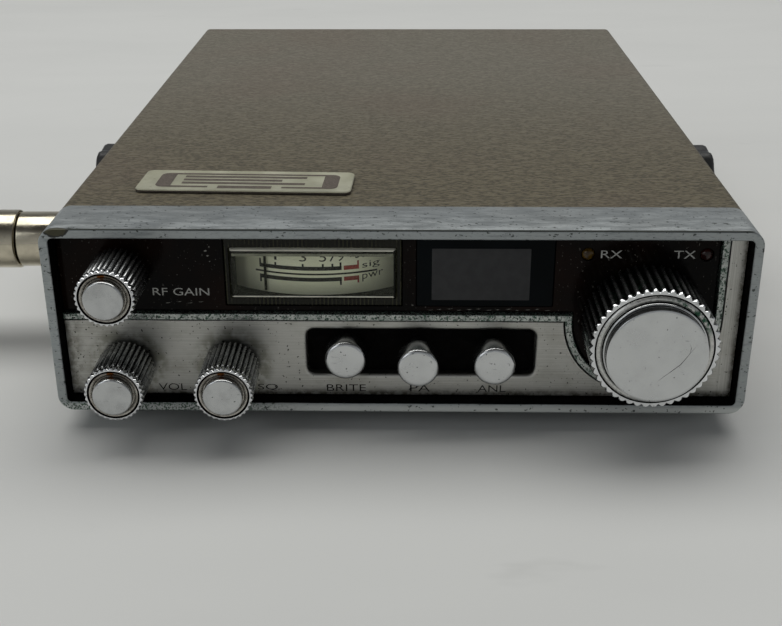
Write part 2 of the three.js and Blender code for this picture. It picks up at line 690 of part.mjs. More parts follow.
function makeRear() {
  const back = REAR_PANEL + 1.5;
  const face = back + GAP;
  const { antenna, power, sink } = REAR;
  const outline = rectangle(-RAIL_X, RAIL_X, 2, CASE_TOP - 1.8);
  const holes = [
    circle(antenna.x, antenna.z, 6.3),
    rectangle(power.x - 10.3, power.x + 10.3, power.z - 6.3, power.z + 6.3),
    circle(REAR.speaker_jack.x, REAR.speaker_jack.z, 3.5),
    circle(REAR.pa_jack.x, REAR.pa_jack.z, 3.5),
  ];
  add('rear_panel', 'plated_steel', plate(outline, holes, REAR_PANEL, back));

  const flange = rectangle(antenna.x - 12.7, antenna.x + 12.7, antenna.z - 12.7, antenna.z + 12.7, 2);
  const barrel = turnedInDepth([
    [0, REAR_PANEL - 8], [2, REAR_PANEL - 8], [2, REAR_PANEL - 2], [6, REAR_PANEL - 2],
    [6, face + 1], [7.9, face + 1], [7.9, face + 14], [6, face + 14], [6, face + 11], [1.9, face + 11],
    [1.9, face + 3], [0, face + 3],
  ], antenna.x, antenna.z, 16);
  add('antenna_socket', 'nickel', union(alongDepth(flange, face, face + 1.6), barrel));

  const housing = union(
    box(power.x - 10, power.x + 10, REAR_PANEL - 6, face + 9, power.z - 6, power.z + 6),
    box(power.x - 12, power.x + 12, face, face + 1.5, power.z - 8, power.z + 8),
  );
  const well = box(power.x - 8.5, power.x + 8.5, face, face + 10, power.z - 4.5, power.z + 4.5);
  const pins = [-5.5, 5.5].map((offset) => (
    turnedInDepth(rod(1.2, face - 1, face + 7), power.x + offset, power.z, 12)
  ));
  add('power_inlet', 'black_plastic', union(cut(housing, well), ...pins));

  for (const name of ['speaker_jack', 'pa_jack']) {
    const { x, z } = REAR[name];
    const jack = [
      [0, REAR_PANEL - 12], [5, REAR_PANEL - 12], [5, REAR_PANEL - GAP], [3.2, REAR_PANEL - GAP],
      [3.2, face], [5, face], [5, face + 2], [3, face + 2], [3, face + 3.5], [1.8, face + 3.5],
      [1.8, REAR_PANEL - 10], [0, REAR_PANEL - 10],
    ];
    add(name, 'nickel', turnedInDepth(jack, x, z, 12));
  }

  const fins = [box(sink.x0, sink.x1, face, face + 3, sink.z0, sink.z1)];
  const finCount = 6;
  const finPitch = (sink.x1 - sink.x0 - 2) / (finCount - 1);
  for (let fin = 0; fin < finCount; fin += 1) {
    const x = sink.x0 + fin * finPitch;
    fins.push(box(x, x + 2, face + 2, face + 11, sink.z0, sink.z1));
  }
  add('heat_sink', 'aluminium', union(...fins));
}

// ---------------------------------------------------------------- feet and badge

function makeFeet() {
  const ends = { front: FOOT.depths[0], rear: FOOT.depths[1] };
  const { r, height, x } = FOOT;
  const profile = [
    [0, -GAP], [r, -GAP], [r, -1.5], [r - 1.2, -height], [3, -height], [3, -height + 2.2], [0, -height + 2.2],
  ];
  for (const [side, sign] of Object.entries(SIDES)) {
    for (const [end, depth] of Object.entries(ends)) {
      add(`${end}_${side}_foot`, 'black_rubber', turnedUpright(profile, sign * x, depth, 16));
    }
  }
}

function makeBadge() {
  const { w, h, x, depth, angle, t } = BADGE;
  const geometry = new THREE.ExtrudeGeometry(rectangle(-w / 2, w / 2, -h / 2, h / 2, 2), {
    depth: t,
    bevelEnabled: false,
    curveSegments: 4,
  });
  geometry.rotateZ(radians(angle));
  geometry.translate(x, inDepth(depth), CASE_TOP + GAP);
  add('badge', 'badge_plate', solid(geometry));
}

makeBezel();
makeEscutcheon();
makeWindowTrim();
makeWindow();
makeCarrier();
makeMeter();
makeDisplay();
makeLeds();
makeButtons();
for (const [name, place] of Object.entries(SMALL_CONTROLS)) makeSmallControl(name, place);
makeChannelSelector();
makeTopCover();
makeBottomCover();
makeChassis();
makeBoard();
makeSpeaker();
makeSideKnobs();
makeMicrophoneConnector();
makeRear();
makeFeet();
makeBadge();

export default radio;
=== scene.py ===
import math
from itertools import product

import bmesh
import bpy
from mathutils import Matrix, Vector


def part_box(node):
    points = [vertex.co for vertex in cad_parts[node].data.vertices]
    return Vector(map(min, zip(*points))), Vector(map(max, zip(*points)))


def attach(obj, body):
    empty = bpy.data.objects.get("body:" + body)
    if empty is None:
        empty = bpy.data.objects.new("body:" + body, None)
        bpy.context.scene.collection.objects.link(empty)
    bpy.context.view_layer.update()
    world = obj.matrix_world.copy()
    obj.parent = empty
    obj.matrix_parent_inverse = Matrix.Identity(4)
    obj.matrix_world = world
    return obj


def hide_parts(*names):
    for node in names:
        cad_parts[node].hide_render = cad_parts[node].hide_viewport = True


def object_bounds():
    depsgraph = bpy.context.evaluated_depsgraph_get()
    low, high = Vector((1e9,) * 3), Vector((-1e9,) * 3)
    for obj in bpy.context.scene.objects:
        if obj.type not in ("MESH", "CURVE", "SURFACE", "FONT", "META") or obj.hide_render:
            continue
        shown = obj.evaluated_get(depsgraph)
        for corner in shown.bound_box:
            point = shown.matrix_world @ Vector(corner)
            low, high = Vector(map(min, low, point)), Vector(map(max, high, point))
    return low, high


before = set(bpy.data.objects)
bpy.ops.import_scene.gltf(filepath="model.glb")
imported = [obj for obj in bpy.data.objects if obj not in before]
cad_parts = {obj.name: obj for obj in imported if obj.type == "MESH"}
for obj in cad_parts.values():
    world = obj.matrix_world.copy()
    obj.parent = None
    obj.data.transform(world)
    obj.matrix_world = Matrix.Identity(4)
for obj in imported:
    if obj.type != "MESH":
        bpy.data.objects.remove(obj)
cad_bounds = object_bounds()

# Lengths in this script are millimetres, and are turned into metres where a mesh is made.
MM = 0.001
TURN = 2 * math.pi


def extent(node):
    """Lowest and highest corner of a CAD node, in millimetres."""
    low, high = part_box(node)
    return low / MM, high / MM


def middle(node):
    low, high = extent(node)
    return (low + high) / 2


def face_bounds(node):
    """The node's outline seen from the front: lowest and highest x, lowest and highest z."""
    low, high = extent(node)
    return low.x, high.x, low.z, high.z


FRONT = extent("front_bezel")[0].y  # plane of the bezel's front lip
SKIN = 0.04  # how far printing stands in front of the surface it lies on


def at(depth):
    """The y value a given depth behind the bezel's front lip."""
    return FRONT + depth


# ---------------------------------------------------------------- outlines and loops of points


def arc(x, z, r, start, end, count):
    """Points of an arc, with its angles in degrees from +X towards +Z."""
    angles = [math.radians(start + (end - start) * i / count) for i in range(count + 1)]
    return [(x + r * math.cos(a), z + r * math.sin(a)) for a in angles]


def round_hole(node, r, count=32):
    """Clockwise circle round the middle of a node."""
    centre = middle(node)
    return arc(centre.x, centre.z, r, 360, 0, count)[:-1]


def rectangle(x0, x1, z0, z1, r, count=6):
    """Rectangle with rounded corners, anticlockwise."""
    corners = ((x1 - r, z0 + r), (x1 - r, z1 - r), (x0 + r, z1 - r), (x0 + r, z0 + r))
    starts = (-90, 0, 90, 180)
    return [p for (x, z), start in zip(corners, starts) for p in arc(x, z, r, start, start + 90, count)]


def inset(bounds, amount):
    x0, x1, z0, z1 = bounds
    return x0 + amount, x1 - amount, z0 + amount, z1 - amount


def upright(outline, y):
    """An outline in x and z as a loop standing at one y."""
    return [(x, y, z) for x, z in outline]


def beside(axis, centre, a, b, along):
    """The point that is a and b away from centre across an axis, and at one place along it."""
    if axis == "x":
        return along, centre.y + a, centre.z + b
    if axis == "y":
        return centre.x + a, along, centre.z + b
    return centre.x + a, centre.y + b, along


def around(axis, centre, radius, along, count):
    """Loop round an axis, which is "x", "y" or "z". radius is a number, or a function of the angle."""
    loop = []
    for i in range(count):
        angle = TURN * i / count
        r = radius(angle) if callable(radius) else radius
        loop.append(beside(axis, centre, r * math.cos(angle), r * math.sin(angle), along))
    return loop


def fluted(tip, root, count, sharpness):
    """Radius round a grip with count ridges; a higher sharpness makes narrower ridges."""
    return lambda angle: root + (tip - root) * abs(math.cos(count * angle / 2)) ** sharpness


def lobed(r, lobe, count=8):
    """Radius round a head with soft lobes, one of its hollows being at the top."""
    return lambda angle: r + lobe * math.cos(count * (angle - math.pi / 2) + math.pi)


def eased(profile, radius, steps=3):
    """The profile with each inner corner rounded over radius."""
    rounded = [profile[0]]
    for before, corner, after in zip(profile, profile[1:], profile[2:]):
        corner = Vector(corner)
        to_before, to_after = Vector(before) - corner, Vector(after) - corner
        reach = min(radius, to_before.length * 0.45, to_after.length * 0.45)
        start = corner + to_before.normalized() * reach
        end = corner + to_after.normalized() * reach
        for i in range(steps + 1):
            t = i / steps
            rounded.append(tuple(start * (1 - t) ** 2 + corner * 2 * t * (1 - t) + end * t**2))
    return rounded + [profile[-1]]


# ---------------------------------------------------------------- shapes and pieces


class Shape:
    """Vertices, faces and the finish number of each face, gathered until they become a piece."""

    def __init__(self):
        self.vertices = []
        self.faces = []
        self.finishes = []

    def add(self, vertices, faces, finish=0):
        first = len(self.vertices)
        self.vertices += [Vector(v) for v in vertices]
        self.faces += [[first + i for i in face] for face in faces]
        self.finishes += [finish] * len(faces)
        return self

    def polygon(self, points):
        return self.add(points, [list(range(len(points)))])

    def skin(self, loops, finish=0, start=True, end=True):
        """Surface through loops of equally many points, closed at its start and end if wanted."""
        count = len(loops[0])
        last = (len(loops) - 1) * count
        faces = []
        for row in range(0, last, count):
            for i in range(count):
                j = (i + 1) % count
                faces.append([row + i, row + j, row + count + j, row + count + i])
        if start:
            faces.append(list(reversed(range(count))))
        if end:
            faces.append(list(range(last, last + count)))
        return self.add([point for loop in loops for point in loop], faces, finish)

    def tube(self, loops, finish=0):
        """The same surface, open at both ends."""
        return self.skin(loops, finish, start=False, end=False)

    def turned(self, axis, centre, profile, count=48, finish=0, **ends):
        """Turned surface. profile is a list of (radius, place along the axis)."""
        return self.skin([around(axis, centre, r, along, count) for r, along in profile], finish, **ends)

    def box(self, low, high, finish=0):
        faces = [[0, 1, 3, 2], [4, 6, 7, 5], [0, 4, 5, 1], [2, 3, 7, 6], [0, 2, 6, 4], [1, 5, 7, 3]]
        return self.add(product(*zip(low, high)), faces, finish)

    def mesh(self, name):
        mesh = bpy.data.meshes.new(name)
        mesh.from_pydata([v * MM for v in self.vertices], [], self.faces)
        mesh.polygons.foreach_set("material_index", self.finishes)
        tidy = bmesh.new()
        tidy.from_mesh(mesh)
        bmesh.ops.recalc_face_normals(tidy, faces=tidy.faces)
        tidy.to_mesh(mesh)
        tidy.free()
        return mesh


def piece(name, form, finishes, node=None, sharp=35, body="radio_body"):
    """Makes a Shape or a mesh a shown piece that rides on a body, and may stand for a CAD node."""
    mesh = form.mesh(name) if isinstance(form, Shape) else form
    for finish in finishes:
        mesh.materials.append(finish)
    mesh.shade_smooth()
    mesh.set_sharp_from_angle(angle=math.radians(sharp))
    made = bpy.data.objects.new(name, mesh)
    bpy.context.scene.collection.objects.link(made)
    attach(made, body)
    if node:
        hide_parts(node)


def baked(made):
    """The mesh of an object with its curves, bevels and modifiers worked out; the object goes."""
    bpy.context.scene.collection.objects.link(made)
    graph = bpy.context.evaluated_depsgraph_get()
    mesh = bpy.data.meshes.new_from_object(made.evaluated_get(graph))
    bpy.data.objects.remove(made)
    return mesh


def plate_mesh(name, outlines, front, back, bevel):
    """Upright plate with softened edges. The first outline is its edge and the rest are holes."""
    curve = bpy.data.curves.new(name, "CURVE")
    curve.dimensions = "2D"
    curve.fill_mode = "BOTH"
    curve.extrude = ((back - front) / 2 - bevel) * MM
    curve.bevel_depth = bevel * MM
    curve.bevel_resolution = 2
    curve.offset = -bevel * MM
    for outline in outlines:
        spline = curve.splines.new("POLY")
        spline.points.add(len(outline) - 1)
        for point, (x, z) in zip(spline.points, outline):
            point.co = (x * MM, z * MM, 0, 1)
        spline.use_cyclic_u = True
    mesh = baked(bpy.data.objects.new(name, curve))
    mesh.transform(Matrix.Rotation(math.radians(90), 4, "X"))
    mesh.transform(Matrix.Translation((0, (front + back) / 2 * MM, 0)))
    return mesh


def soften(node, width, finish, body="radio_body", ending="shell"):
    """Stands for a CAD node: its mesh with flat faces merged and edges rounded over width."""
    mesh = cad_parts[node].data.copy()
    mesh.materials.clear()
    tidy = bmesh.new()
    tidy.from_mesh(mesh)
    bmesh.ops.remove_doubles(tidy, verts=tidy.verts, dist=0.00001)
    bmesh.ops.dissolve_limit(tidy, angle_limit=math.radians(1), verts=tidy.verts, edges=tidy.edges)
    tidy.to_mesh(mesh)
    tidy.free()
    made = bpy.data.objects.new(node, mesh)
    bevel = made.modifiers.new("soft_edges", "BEVEL")
    bevel.width = width * MM
    bevel.segments = 2
    bevel.limit_method = "ANGLE"
    bevel.angle_limit = math.radians(32)
    piece(f"{node}_{ending}", baked(made), [finish], node, body=body)


# ---------------------------------------------------------------- node materials


class Finish:
    """A material in the making, with one short method for each kind of node it needs."""

    def __init__(self, name, **sockets):
        self.material = bpy.data.materials.new(name)
        self.material.use_nodes = True
        self.tree = self.material.node_tree
        self.shader = self.tree.nodes["Principled BSDF"]
        for socket, value in sockets.items():
            self.feed(self.shader.inputs[socket.replace("_", " ")], value)
        place = self.tree.nodes.new("ShaderNodeTexCoord").outputs["Object"]
        self.place = self.vector("MULTIPLY", place, (1 / MM, 1 / MM, 1 / MM))  # in millimetres

    def feed(self, socket, value):
        if isinstance(value, bpy.types.NodeSocket):
            self.tree.links.new(value, socket)
        elif socket.type == "RGBA":
            socket.default_value = (*value, 1)
        else:
            socket.default_value = value

    def node(self, kind, inputs, output=0, **settings):
        """Adds a node with these settings and inputs, and gives one of its outputs."""
        made = self.tree.nodes.new("ShaderNode" + kind)
        for name, value in settings.items():
            setattr(made, name, value)
        for socket, value in inputs.items():
            self.feed(made.inputs[socket], value)
        return made.outputs[output]

    def vector(self, operation, a, b=(0, 0, 0), output="Vector"):
        return self.node("VectorMath", {0: a, 1: b}, output, operation=operation)

    def math(self, operation, a, b=0.0):
        return self.node("Math", {0: a, 1: b}, operation=operation)

    def times(self, a, b):
        return self.math("MULTIPLY", a, b)

    def plus(self, a, b):
        return self.math("ADD", a, b)

    def away(self, value, from_place):
        """How far value is from from_place, either way."""
        return self.math("ABSOLUTE", self.math("SUBTRACT", value, from_place))

    def noise(self, scale, detail=3.0, roughness=0.55, stretch=(1, 1, 1), seed=0.0):
        stretched = self.vector("MULTIPLY", self.place, stretch)
        place = self.vector("ADD", stretched, (seed * 17.3, seed * 31.7, seed * 11.9))
        inputs = {"Vector": place, "Scale": scale, "Detail": detail, "Roughness": roughness}
        return self.node("TexNoise", inputs)

    def cells(self, scale, stretch=(1, 1, 1), feature="F1"):
        inputs = {"Vector": self.vector("MULTIPLY", self.place, stretch), "Scale": scale}
        return self.node("TexVoronoi", inputs, "Distance", feature=feature)

    def axis(self, letter):
        return self.node("SeparateXYZ", {0: self.place}, letter.upper())

    def radius(self, centre):
        """Distance from the axis through centre that runs front to back."""
        offset = self.vector("SUBTRACT", self.place, tuple(centre))
        return self.vector("LENGTH", self.vector("MULTIPLY", offset, (1, 0, 1)), output="Value")

    def reach(self, centre, radii):
        """0 at centre and 1 on the ellipsoid with these radii."""
        offset = self.vector("SUBTRACT", self.place, tuple(centre))
        return self.vector("LENGTH", self.vector("DIVIDE", offset, radii), output="Value")

    def scaled(self, value, low, high, start=0.0, end=1.0):
        """value from low to high becomes start to end, and stays there beyond them."""
        inputs = dict(enumerate((value, low, high, start, end)))
        return self.node("MapRange", inputs, interpolation_type="SMOOTHSTEP")

    def mixed(self, amount, a, b):
        return self.node("Mix", {0: amount, 6: a, 7: b}, 2, data_type="RGBA")

    def colour(self, tone):
        self.tone = tone
        self.feed(self.shader.inputs["Base Color"], tone)

    def clouds(self, cloud, a, b, low=0.35, high=0.7):
        """Colours the surface a where cloud is low, and b where it is high."""
        self.colour(self.mixed(self.scaled(cloud, low, high), a, b))

    def lay(self, amount, colour):
        """Lays a colour over the tone so far, where amount is 1."""
        self.colour(self.mixed(amount, self.tone, colour))

    def metallic(self, value):
        self.feed(self.shader.inputs["Metallic"], value)

    def roughness(self, value):
        self.feed(self.shader.inputs["Roughness"], value)

    def gloss(self, value, smooth, rough, high=0.75):
        """Roughness from smooth to rough as value goes from 0.3 to high."""
        self.roughness(self.scaled(value, 0.3, high, smooth, rough))

    def bump(self, height, distance, strength=0.5):
        """distance is the relief's full depth in millimetres."""
        inputs = {"Strength": strength, "Distance": distance * MM, "Height": height}
        self.feed(self.shader.inputs["Normal"], self.node("Bump", inputs))


CHIP = (-78.2, FRONT, 46.7)  # where the bezel's finish is chipped away
SHADED_CREASE = FRONT + 0.32  # where a painted dark reflection draws a dark line along the bezel's top front edge
STRIP = 76.0  # x at which the plate's right strip begins


def bezel_finish():
    """Satin blue-grey metal, streaked along its length, with dark specks and green corrosion."""
    f = Finish("bezel_metal")
    streaks = f.noise(0.5, 5, 0.65, (0.22, 1, 1))
    f.clouds(streaks, (0.31, 0.335, 0.34), (0.38, 0.405, 0.41), 0.3)
    f.lay(f.scaled(f.noise(0.05, 2, seed=1), 0.35, 0.7, 0, 0.3), (0.31, 0.32, 0.31))
    grain = f.noise(2.6, 3, 0.6, (0.3, 1, 1), seed=9)
    f.lay(f.scaled(grain, 0.52, 0.66, 0, 0.45), (0.20, 0.215, 0.22))
    worn = f.noise(0.6, 4, 0.6, (0.12, 1, 1), seed=8)
    f.lay(f.scaled(worn, 0.58, 0.70, 0, 0.45), (0.17, 0.185, 0.19))
    on_lip = f.scaled(f.axis("y"), FRONT + 0.6, FRONT + 0.3)
    f.lay(f.times(f.scaled(f.axis("z"), 2.4, 1.0), on_lip), (0.56, 0.58, 0.57))
    # Painted dark reflection: a dark line along the top front edge, where the edge would mirror a dark
    # part of the room.
    crease_shade = f.scaled(f.away(f.axis("y"), SHADED_CREASE), 0.42, 0.24)
    f.lay(f.times(crease_shade, f.scaled(f.axis("z"), 46.3, 46.45)), (0.03, 0.033, 0.03))
    specks = f.noise(1.3, 2, 0.5, (0.8, 1, 1), seed=2)
    f.lay(f.scaled(specks, 0.65, 0.69, 0, 0.85), (0.03, 0.035, 0.03))
    low_left = f.reach((-60, FRONT, 1), (34, 9, 2.6))
    corroded = f.times(f.scaled(low_left, 1.15, 0.6), f.scaled(f.noise(2.4, 4, seed=3), 0.47, 0.56))
    f.lay(corroded, (0.045, 0.085, 0.055))
    ragged = f.times(f.noise(1.2, 2, seed=4), 0.35)
    chip = f.plus(f.reach(CHIP, (3.0, 1.0, 2.0)), ragged)
    chipped = f.scaled(chip, 1.24, 1.18)
    f.lay(chipped, (0.008, 0.008, 0.004))
    f.lay(f.scaled(chip, 1.08, 0.98), (0.038, 0.035, 0.011))
    f.metallic(f.scaled(f.plus(chipped, corroded), 0, 1, 0.92, 0.1))
    f.gloss(streaks, 0.34, 0.52)
    f.bump(f.noise(2.2, 5, 0.6, (0.3, 1, 1), seed=5), 0.03)
    return f.material


def plate_finish():
    """Brushed warm grey plate with dark pits, and darker blotches near its edges and round the knobs."""
    f = Finish("satin_plate", Metallic=1.0)
    brushing = f.noise(1.0, 4, 0.6, (0.035, 1, 5))
    upright_brushing = f.noise(1.0, 4, 0.6, (5, 1, 0.035), seed=6)
    on_strip = f.scaled(f.axis("x"), STRIP - 0.1, STRIP + 0.1)
    grain = f.mixed(on_strip, brushing, upright_brushing)
    f.clouds(grain, (0.37, 0.365, 0.34), (0.55, 0.545, 0.515), 0.25, 0.75)
    f.lay(f.scaled(f.noise(0.11, 4, 0.6, seed=1), 0.45, 0.75, 0, 0.5), (0.24, 0.23, 0.19))
    blotches = f.scaled(f.noise(0.35, 3, seed=2), 0.3, 0.6)
    for control, size in (("volume_knob", 11), ("squelch_knob", 11), ("channel_knob", 19)):
        shade = f.scaled(f.radius(middle(control)), size, size * 0.72, 0, 0.55)
        f.lay(f.times(shade, blotches), (0.085, 0.085, 0.045))
    low, high = extent("escutcheon")
    edge = f.scaled(f.axis("x"), low.x + 6, low.x, 0, 0.6)
    edge = f.plus(edge, f.scaled(f.axis("x"), high.x - 1.6, high.x, 0, 0.8))
    edge = f.plus(edge, f.scaled(f.axis("z"), low.z + 2.2, low.z, 0, 0.8))
    f.lay(f.times(edge, f.scaled(f.noise(0.6, 4, 0.65, seed=3), 0.38, 0.62)), (0.07, 0.065, 0.04))
    f.lay(f.scaled(f.noise(1.5, 2, 0.5, seed=4), 0.675, 0.71), (0.02, 0.022, 0.018))
    f.gloss(grain, 0.30, 0.46)
    f.bump(grain, 0.03)
    return f.material


def trim_finish():
    """Bright metal rib, heavily spotted with green and black corrosion."""
    f = Finish("bright_trim")
    f.clouds(f.noise(0.5, 4, 0.6), (0.46, 0.48, 0.455), (0.26, 0.285, 0.27), 0.3)
    green = f.scaled(f.noise(1.6, 4, 0.65, seed=1), 0.52, 0.6)
    f.lay(green, (0.06, 0.115, 0.08))
    dark = f.scaled(f.noise(2.4, 3, 0.6, seed=2), 0.56, 0.62)
    f.lay(dark, (0.02, 0.025, 0.02))
    spotted = f.plus(green, dark)
    f.roughness(f.scaled(spotted, 0, 1, 0.22, 0.7))
    f.metallic(f.scaled(spotted, 0, 1, 0.95, 0.2))
    f.bump(f.noise(1.5, 4, 0.6, seed=3), 0.06, 0.6)
    return f.material


def chrome_finish(name, tint=(0.74, 0.75, 0.76), rough=0.09, marks=0.69, clouding=0.45):
    """Chrome with faint clouding, small pits and fine scratches."""
    f = Finish(name, Metallic=1.0)
    cloud = f.noise(0.22, 4, 0.6)
    f.colour(f.mixed(f.scaled(cloud, 0.35, 0.7, 0, clouding), tint, [c * 0.62 for c in tint]))
    pits = f.scaled(f.noise(1.2, 3, 0.55, seed=2), marks, marks + 0.04)
    scratch = f.scaled(f.noise(0.9, 2, 0.5, (0.5, 1, 2), seed=7), 0.71, 0.75, 0, 0.35)
    f.lay(f.math("MAXIMUM", pits, scratch), (0.05, 0.05, 0.05))
    f.gloss(cloud, rough, rough + 0.12)
    f.bump(f.noise(0.8, 3, 0.5, seed=3), 0.01, 0.4)
    return f.material


def grip_finish(name, knob, tip, root, green=0.0):
    """Plated ridges with dark valleys between them, round a knob's own axis."""
    f = Finish(name, Metallic=0.95)
    valley = f.scaled(f.radius(middle(knob)), root, tip)
    wear = f.noise(0.8, 4, 0.6)
    metal = f.mixed(f.scaled(wear, 0.35, 0.7), (0.48, 0.49, 0.49), (0.26, 0.265, 0.265))
    f.colour(f.mixed(valley, (0.006, 0.007, 0.007), metal))
    if green:
        moss = f.scaled(f.noise(0.5, 4, 0.6, seed=5), 0.5, 0.62, 0, green)
        f.lay(moss, (0.03, 0.085, 0.05))
    f.gloss(wear, 0.14, 0.36)
    f.bump(f.noise(1.2, 3, 0.5, seed=3), 0.02)
    return f.material


def rim_finish(name, knob):
    """Tarnished ring inside a small knob's rim, painted darker over its upper half as shade, with a
    rust-brown spot at its top.
    """
    f = Finish(name, Metallic=0.97)
    grain = f.noise(1.3, 4, 0.6)
    f.clouds(grain, (0.46, 0.44, 0.40), (0.24, 0.22, 0.19))
    centre = middle(knob)
    # Painted shade: the ring is darkened over its upper half, where it faces up towards the dark ceiling.
    f.lay(f.scaled(f.axis("z"), centre.z + 1, centre.z + 5, 0, 0.6), (0.14, 0.115, 0.09))
    spot = f.reach(centre + Vector((-0.2, -7, 5.3)), (0.9, 4, 0.75))
    f.lay(f.scaled(spot, 1.1, 0.7), (0.17, 0.055, 0.012))
    f.gloss(grain, 0.16, 0.34)
    f.bump(grain, 0.02)
    return f.material


def ring_finish():
    """Satin ring on the channel selector's face, with green corrosion on its upper right."""
    f = Finish("channel_ring", Metallic=0.95)
    grain = f.noise(1.4, 4, 0.6)
    f.clouds(grain, (0.46, 0.46, 0.44), (0.66, 0.66, 0.63), 0.3)
    patch = f.reach(middle("channel_knob") + Vector((8.5, -8, 9.5)), (8, 8, 7))
    moss = f.scaled(f.noise(0.9, 4, 0.65, seed=2), 0.42, 0.56)
    f.lay(f.times(f.scaled(patch, 1.1, 0.5), moss), (0.035, 0.095, 0.06))
    f.gloss(grain, 0.26, 0.42)
    f.bump(grain, 0.03)
    return f.material


def nickel_finish():
    """Warm nickel plating with faint turning marks and tarnish."""
    f = Finish("nickel", Metallic=1.0)
    cloud = f.noise(0.18, 4, 0.6, seed=1)
    f.clouds(cloud, (0.62, 0.565, 0.445), (0.46, 0.425, 0.335))
    f.lay(f.scaled(f.noise(0.9, 3, 0.6, seed=2), 0.66, 0.72, 0, 0.6), (0.17, 0.14, 0.09))
    f.gloss(cloud, 0.12, 0.24)
    f.bump(f.noise(1.0, 3, 0.6, (5, 0.2, 0.2)), 0.012)
    return f.material


def window_finish():
    """Glossy black panel with a slight brown tint, lint, dust and fine scratches."""
    f = Finish("smoked_window", IOR=1.4, Specular_IOR_Level=0.09)
    f.clouds(f.noise(0.05, 2), (0.0028, 0.0024, 0.0022), (0.009, 0.004, 0.0025), 0.4)
    dust = f.scaled(f.noise(1.7, 2, 0.5, seed=1), 0.70, 0.75, 0, 0.30)
    lint = f.scaled(f.noise(1.1, 3, 0.6, (1, 1, 0.5), seed=4), 0.66, 0.71, 0, 0.14)
    f.lay(f.plus(dust, lint), (0.42, 0.40, 0.36))
    f.gloss(f.noise(0.35, 4, 0.6, seed=2), 0.05, 0.16, 0.7)
    f.bump(f.noise(0.8, 2, 0.5, seed=3), 0.01, 0.3)
    return f.material


def plastic_finish(name, colour, rough=0.42, relief=0.02, dust=0.12, specular=0.5):
    """Moulded plastic or paint: fine grain, uneven gloss and a little dust."""
    f = Finish(name, IOR=1.45, Specular_IOR_Level=specular)
    f.clouds(f.noise(0.25, 4, 0.6), colour, [c * 1.9 for c in colour])
    f.lay(f.scaled(f.noise(1.9, 2, 0.5, seed=1), 0.69, 0.75, 0, dust), (0.36, 0.35, 0.32))
    f.gloss(f.noise(0.6, 4, 0.6, seed=2), rough * 0.85, rough * 1.25, 0.7)
    f.bump(f.noise(3.0, 3, 0.6, seed=3), relief, 0.6)
    return f.material


def metal_finish(name, colour, rough=0.38, stretch=(0.2, 1, 1), rust=0.35):
    """Rolled or cast metal with streaks and a few rust-brown spots."""
    f = Finish(name, Metallic=0.95)
    streaks = f.noise(0.9, 4, 0.6, stretch)
    f.clouds(streaks, [c * 0.78 for c in colour], colour, 0.3)
    f.lay(f.scaled(f.noise(0.5, 4, 0.6, seed=1), 0.62, 0.70, 0, rust), (0.10, 0.06, 0.03))
    f.gloss(streaks, rough * 0.85, rough * 1.3)
    f.bump(f.noise(1.6, 4, 0.6, stretch, seed=2), 0.03)
    return f.material


def vinyl_finish():
    """Taupe leather-grain vinyl, wrinkled and specked, with painted shade that darkens it and deepens its
    wrinkles towards the front; a painted highlight runs along the side bends.
    """
    f = Finish("vinyl", IOR=1.45, Specular_IOR_Level=0.32, Sheen_Weight=0.05, Sheen_Roughness=0.5)
    low, high = extent("top_cover")
    wrinkles = f.away(f.noise(1.0, 3, 0.6, (0.26, 0.85, 0.9)), 0.5)
    pebbles = f.cells(1.35, (0.55, 1.15, 1))
    relief = f.plus(f.times(wrinkles, 4), f.times(pebbles, 0.55))
    height = f.scaled(relief, 0.18, 0.72)
    # Painted shade: towards the front the vinyl is darker and its wrinkles darker still, standing for the
    # sheen falling off there.
    rear_tone = f.mixed(height, (0.100, 0.090, 0.067), (0.150, 0.136, 0.104))
    front_shaded_tone = f.mixed(height, (0.040, 0.032, 0.017), (0.116, 0.097, 0.056))
    f.colour(f.mixed(f.scaled(f.axis("y"), high.y - 50, low.y), rear_tone, front_shaded_tone))
    f.lay(f.scaled(f.noise(0.02, 3, 0.5, seed=2), 0.42, 0.7, 0, 0.25), (0.115, 0.080, 0.058))
    f.lay(f.scaled(f.noise(0.7, 2, 0.5, seed=3), 0.71, 0.75, 0, 0.6), (0.04, 0.035, 0.03))
    # Painted highlight: a pale line along each side bend, where the bend would catch the light.
    side = f.scaled(f.away(f.axis("x"), 0), high.x - 0.62, high.x - 0.42)
    f.lay(f.times(side, f.scaled(f.axis("z"), high.z - 1.5, high.z - 1.1)), (0.46, 0.45, 0.42))
    f.roughness(f.scaled(relief, 0.1, 0.9, 0.66, 0.50))
    f.bump(relief, 0.22, 0.85)
    return f.material


def badge_finish():
    """Cream plate with an olive cast and a soft satin sheen."""
    f = Finish("badge_plate", IOR=1.5, Metallic=0.25)
    f.clouds(f.noise(0.12, 3), (0.33, 0.325, 0.235), (0.42, 0.415, 0.315))
    f.lay(f.scaled(f.noise(0.9, 4, 0.6, seed=1), 0.64, 0.70, 0, 0.35), (0.12, 0.10, 0.06))
    f.gloss(f.noise(0.5, 3, seed=2), 0.34, 0.5, 0.7)
    f.bump(f.noise(2.0, 3, 0.6, seed=3), 0.01)
    return f.material


def ink_finish(name, colour):
    """Printed ink, slightly uneven in cover."""
    f = Finish(name, Roughness=0.6, Specular_IOR_Level=0.2)
    f.clouds(f.noise(2.0, 3), colour, [c * 1.4 + 0.003 for c in colour], 0.4, 0.65)
    return f.material


def scuff_finish():
    """Pale scuffs in the black panel."""
    f = Finish("pale_scuffs", Roughness=0.6)
    f.clouds(f.noise(3.0, 2), (0.05, 0.05, 0.045), (0.28, 0.27, 0.24), 0.4, 0.6)
    return f.material


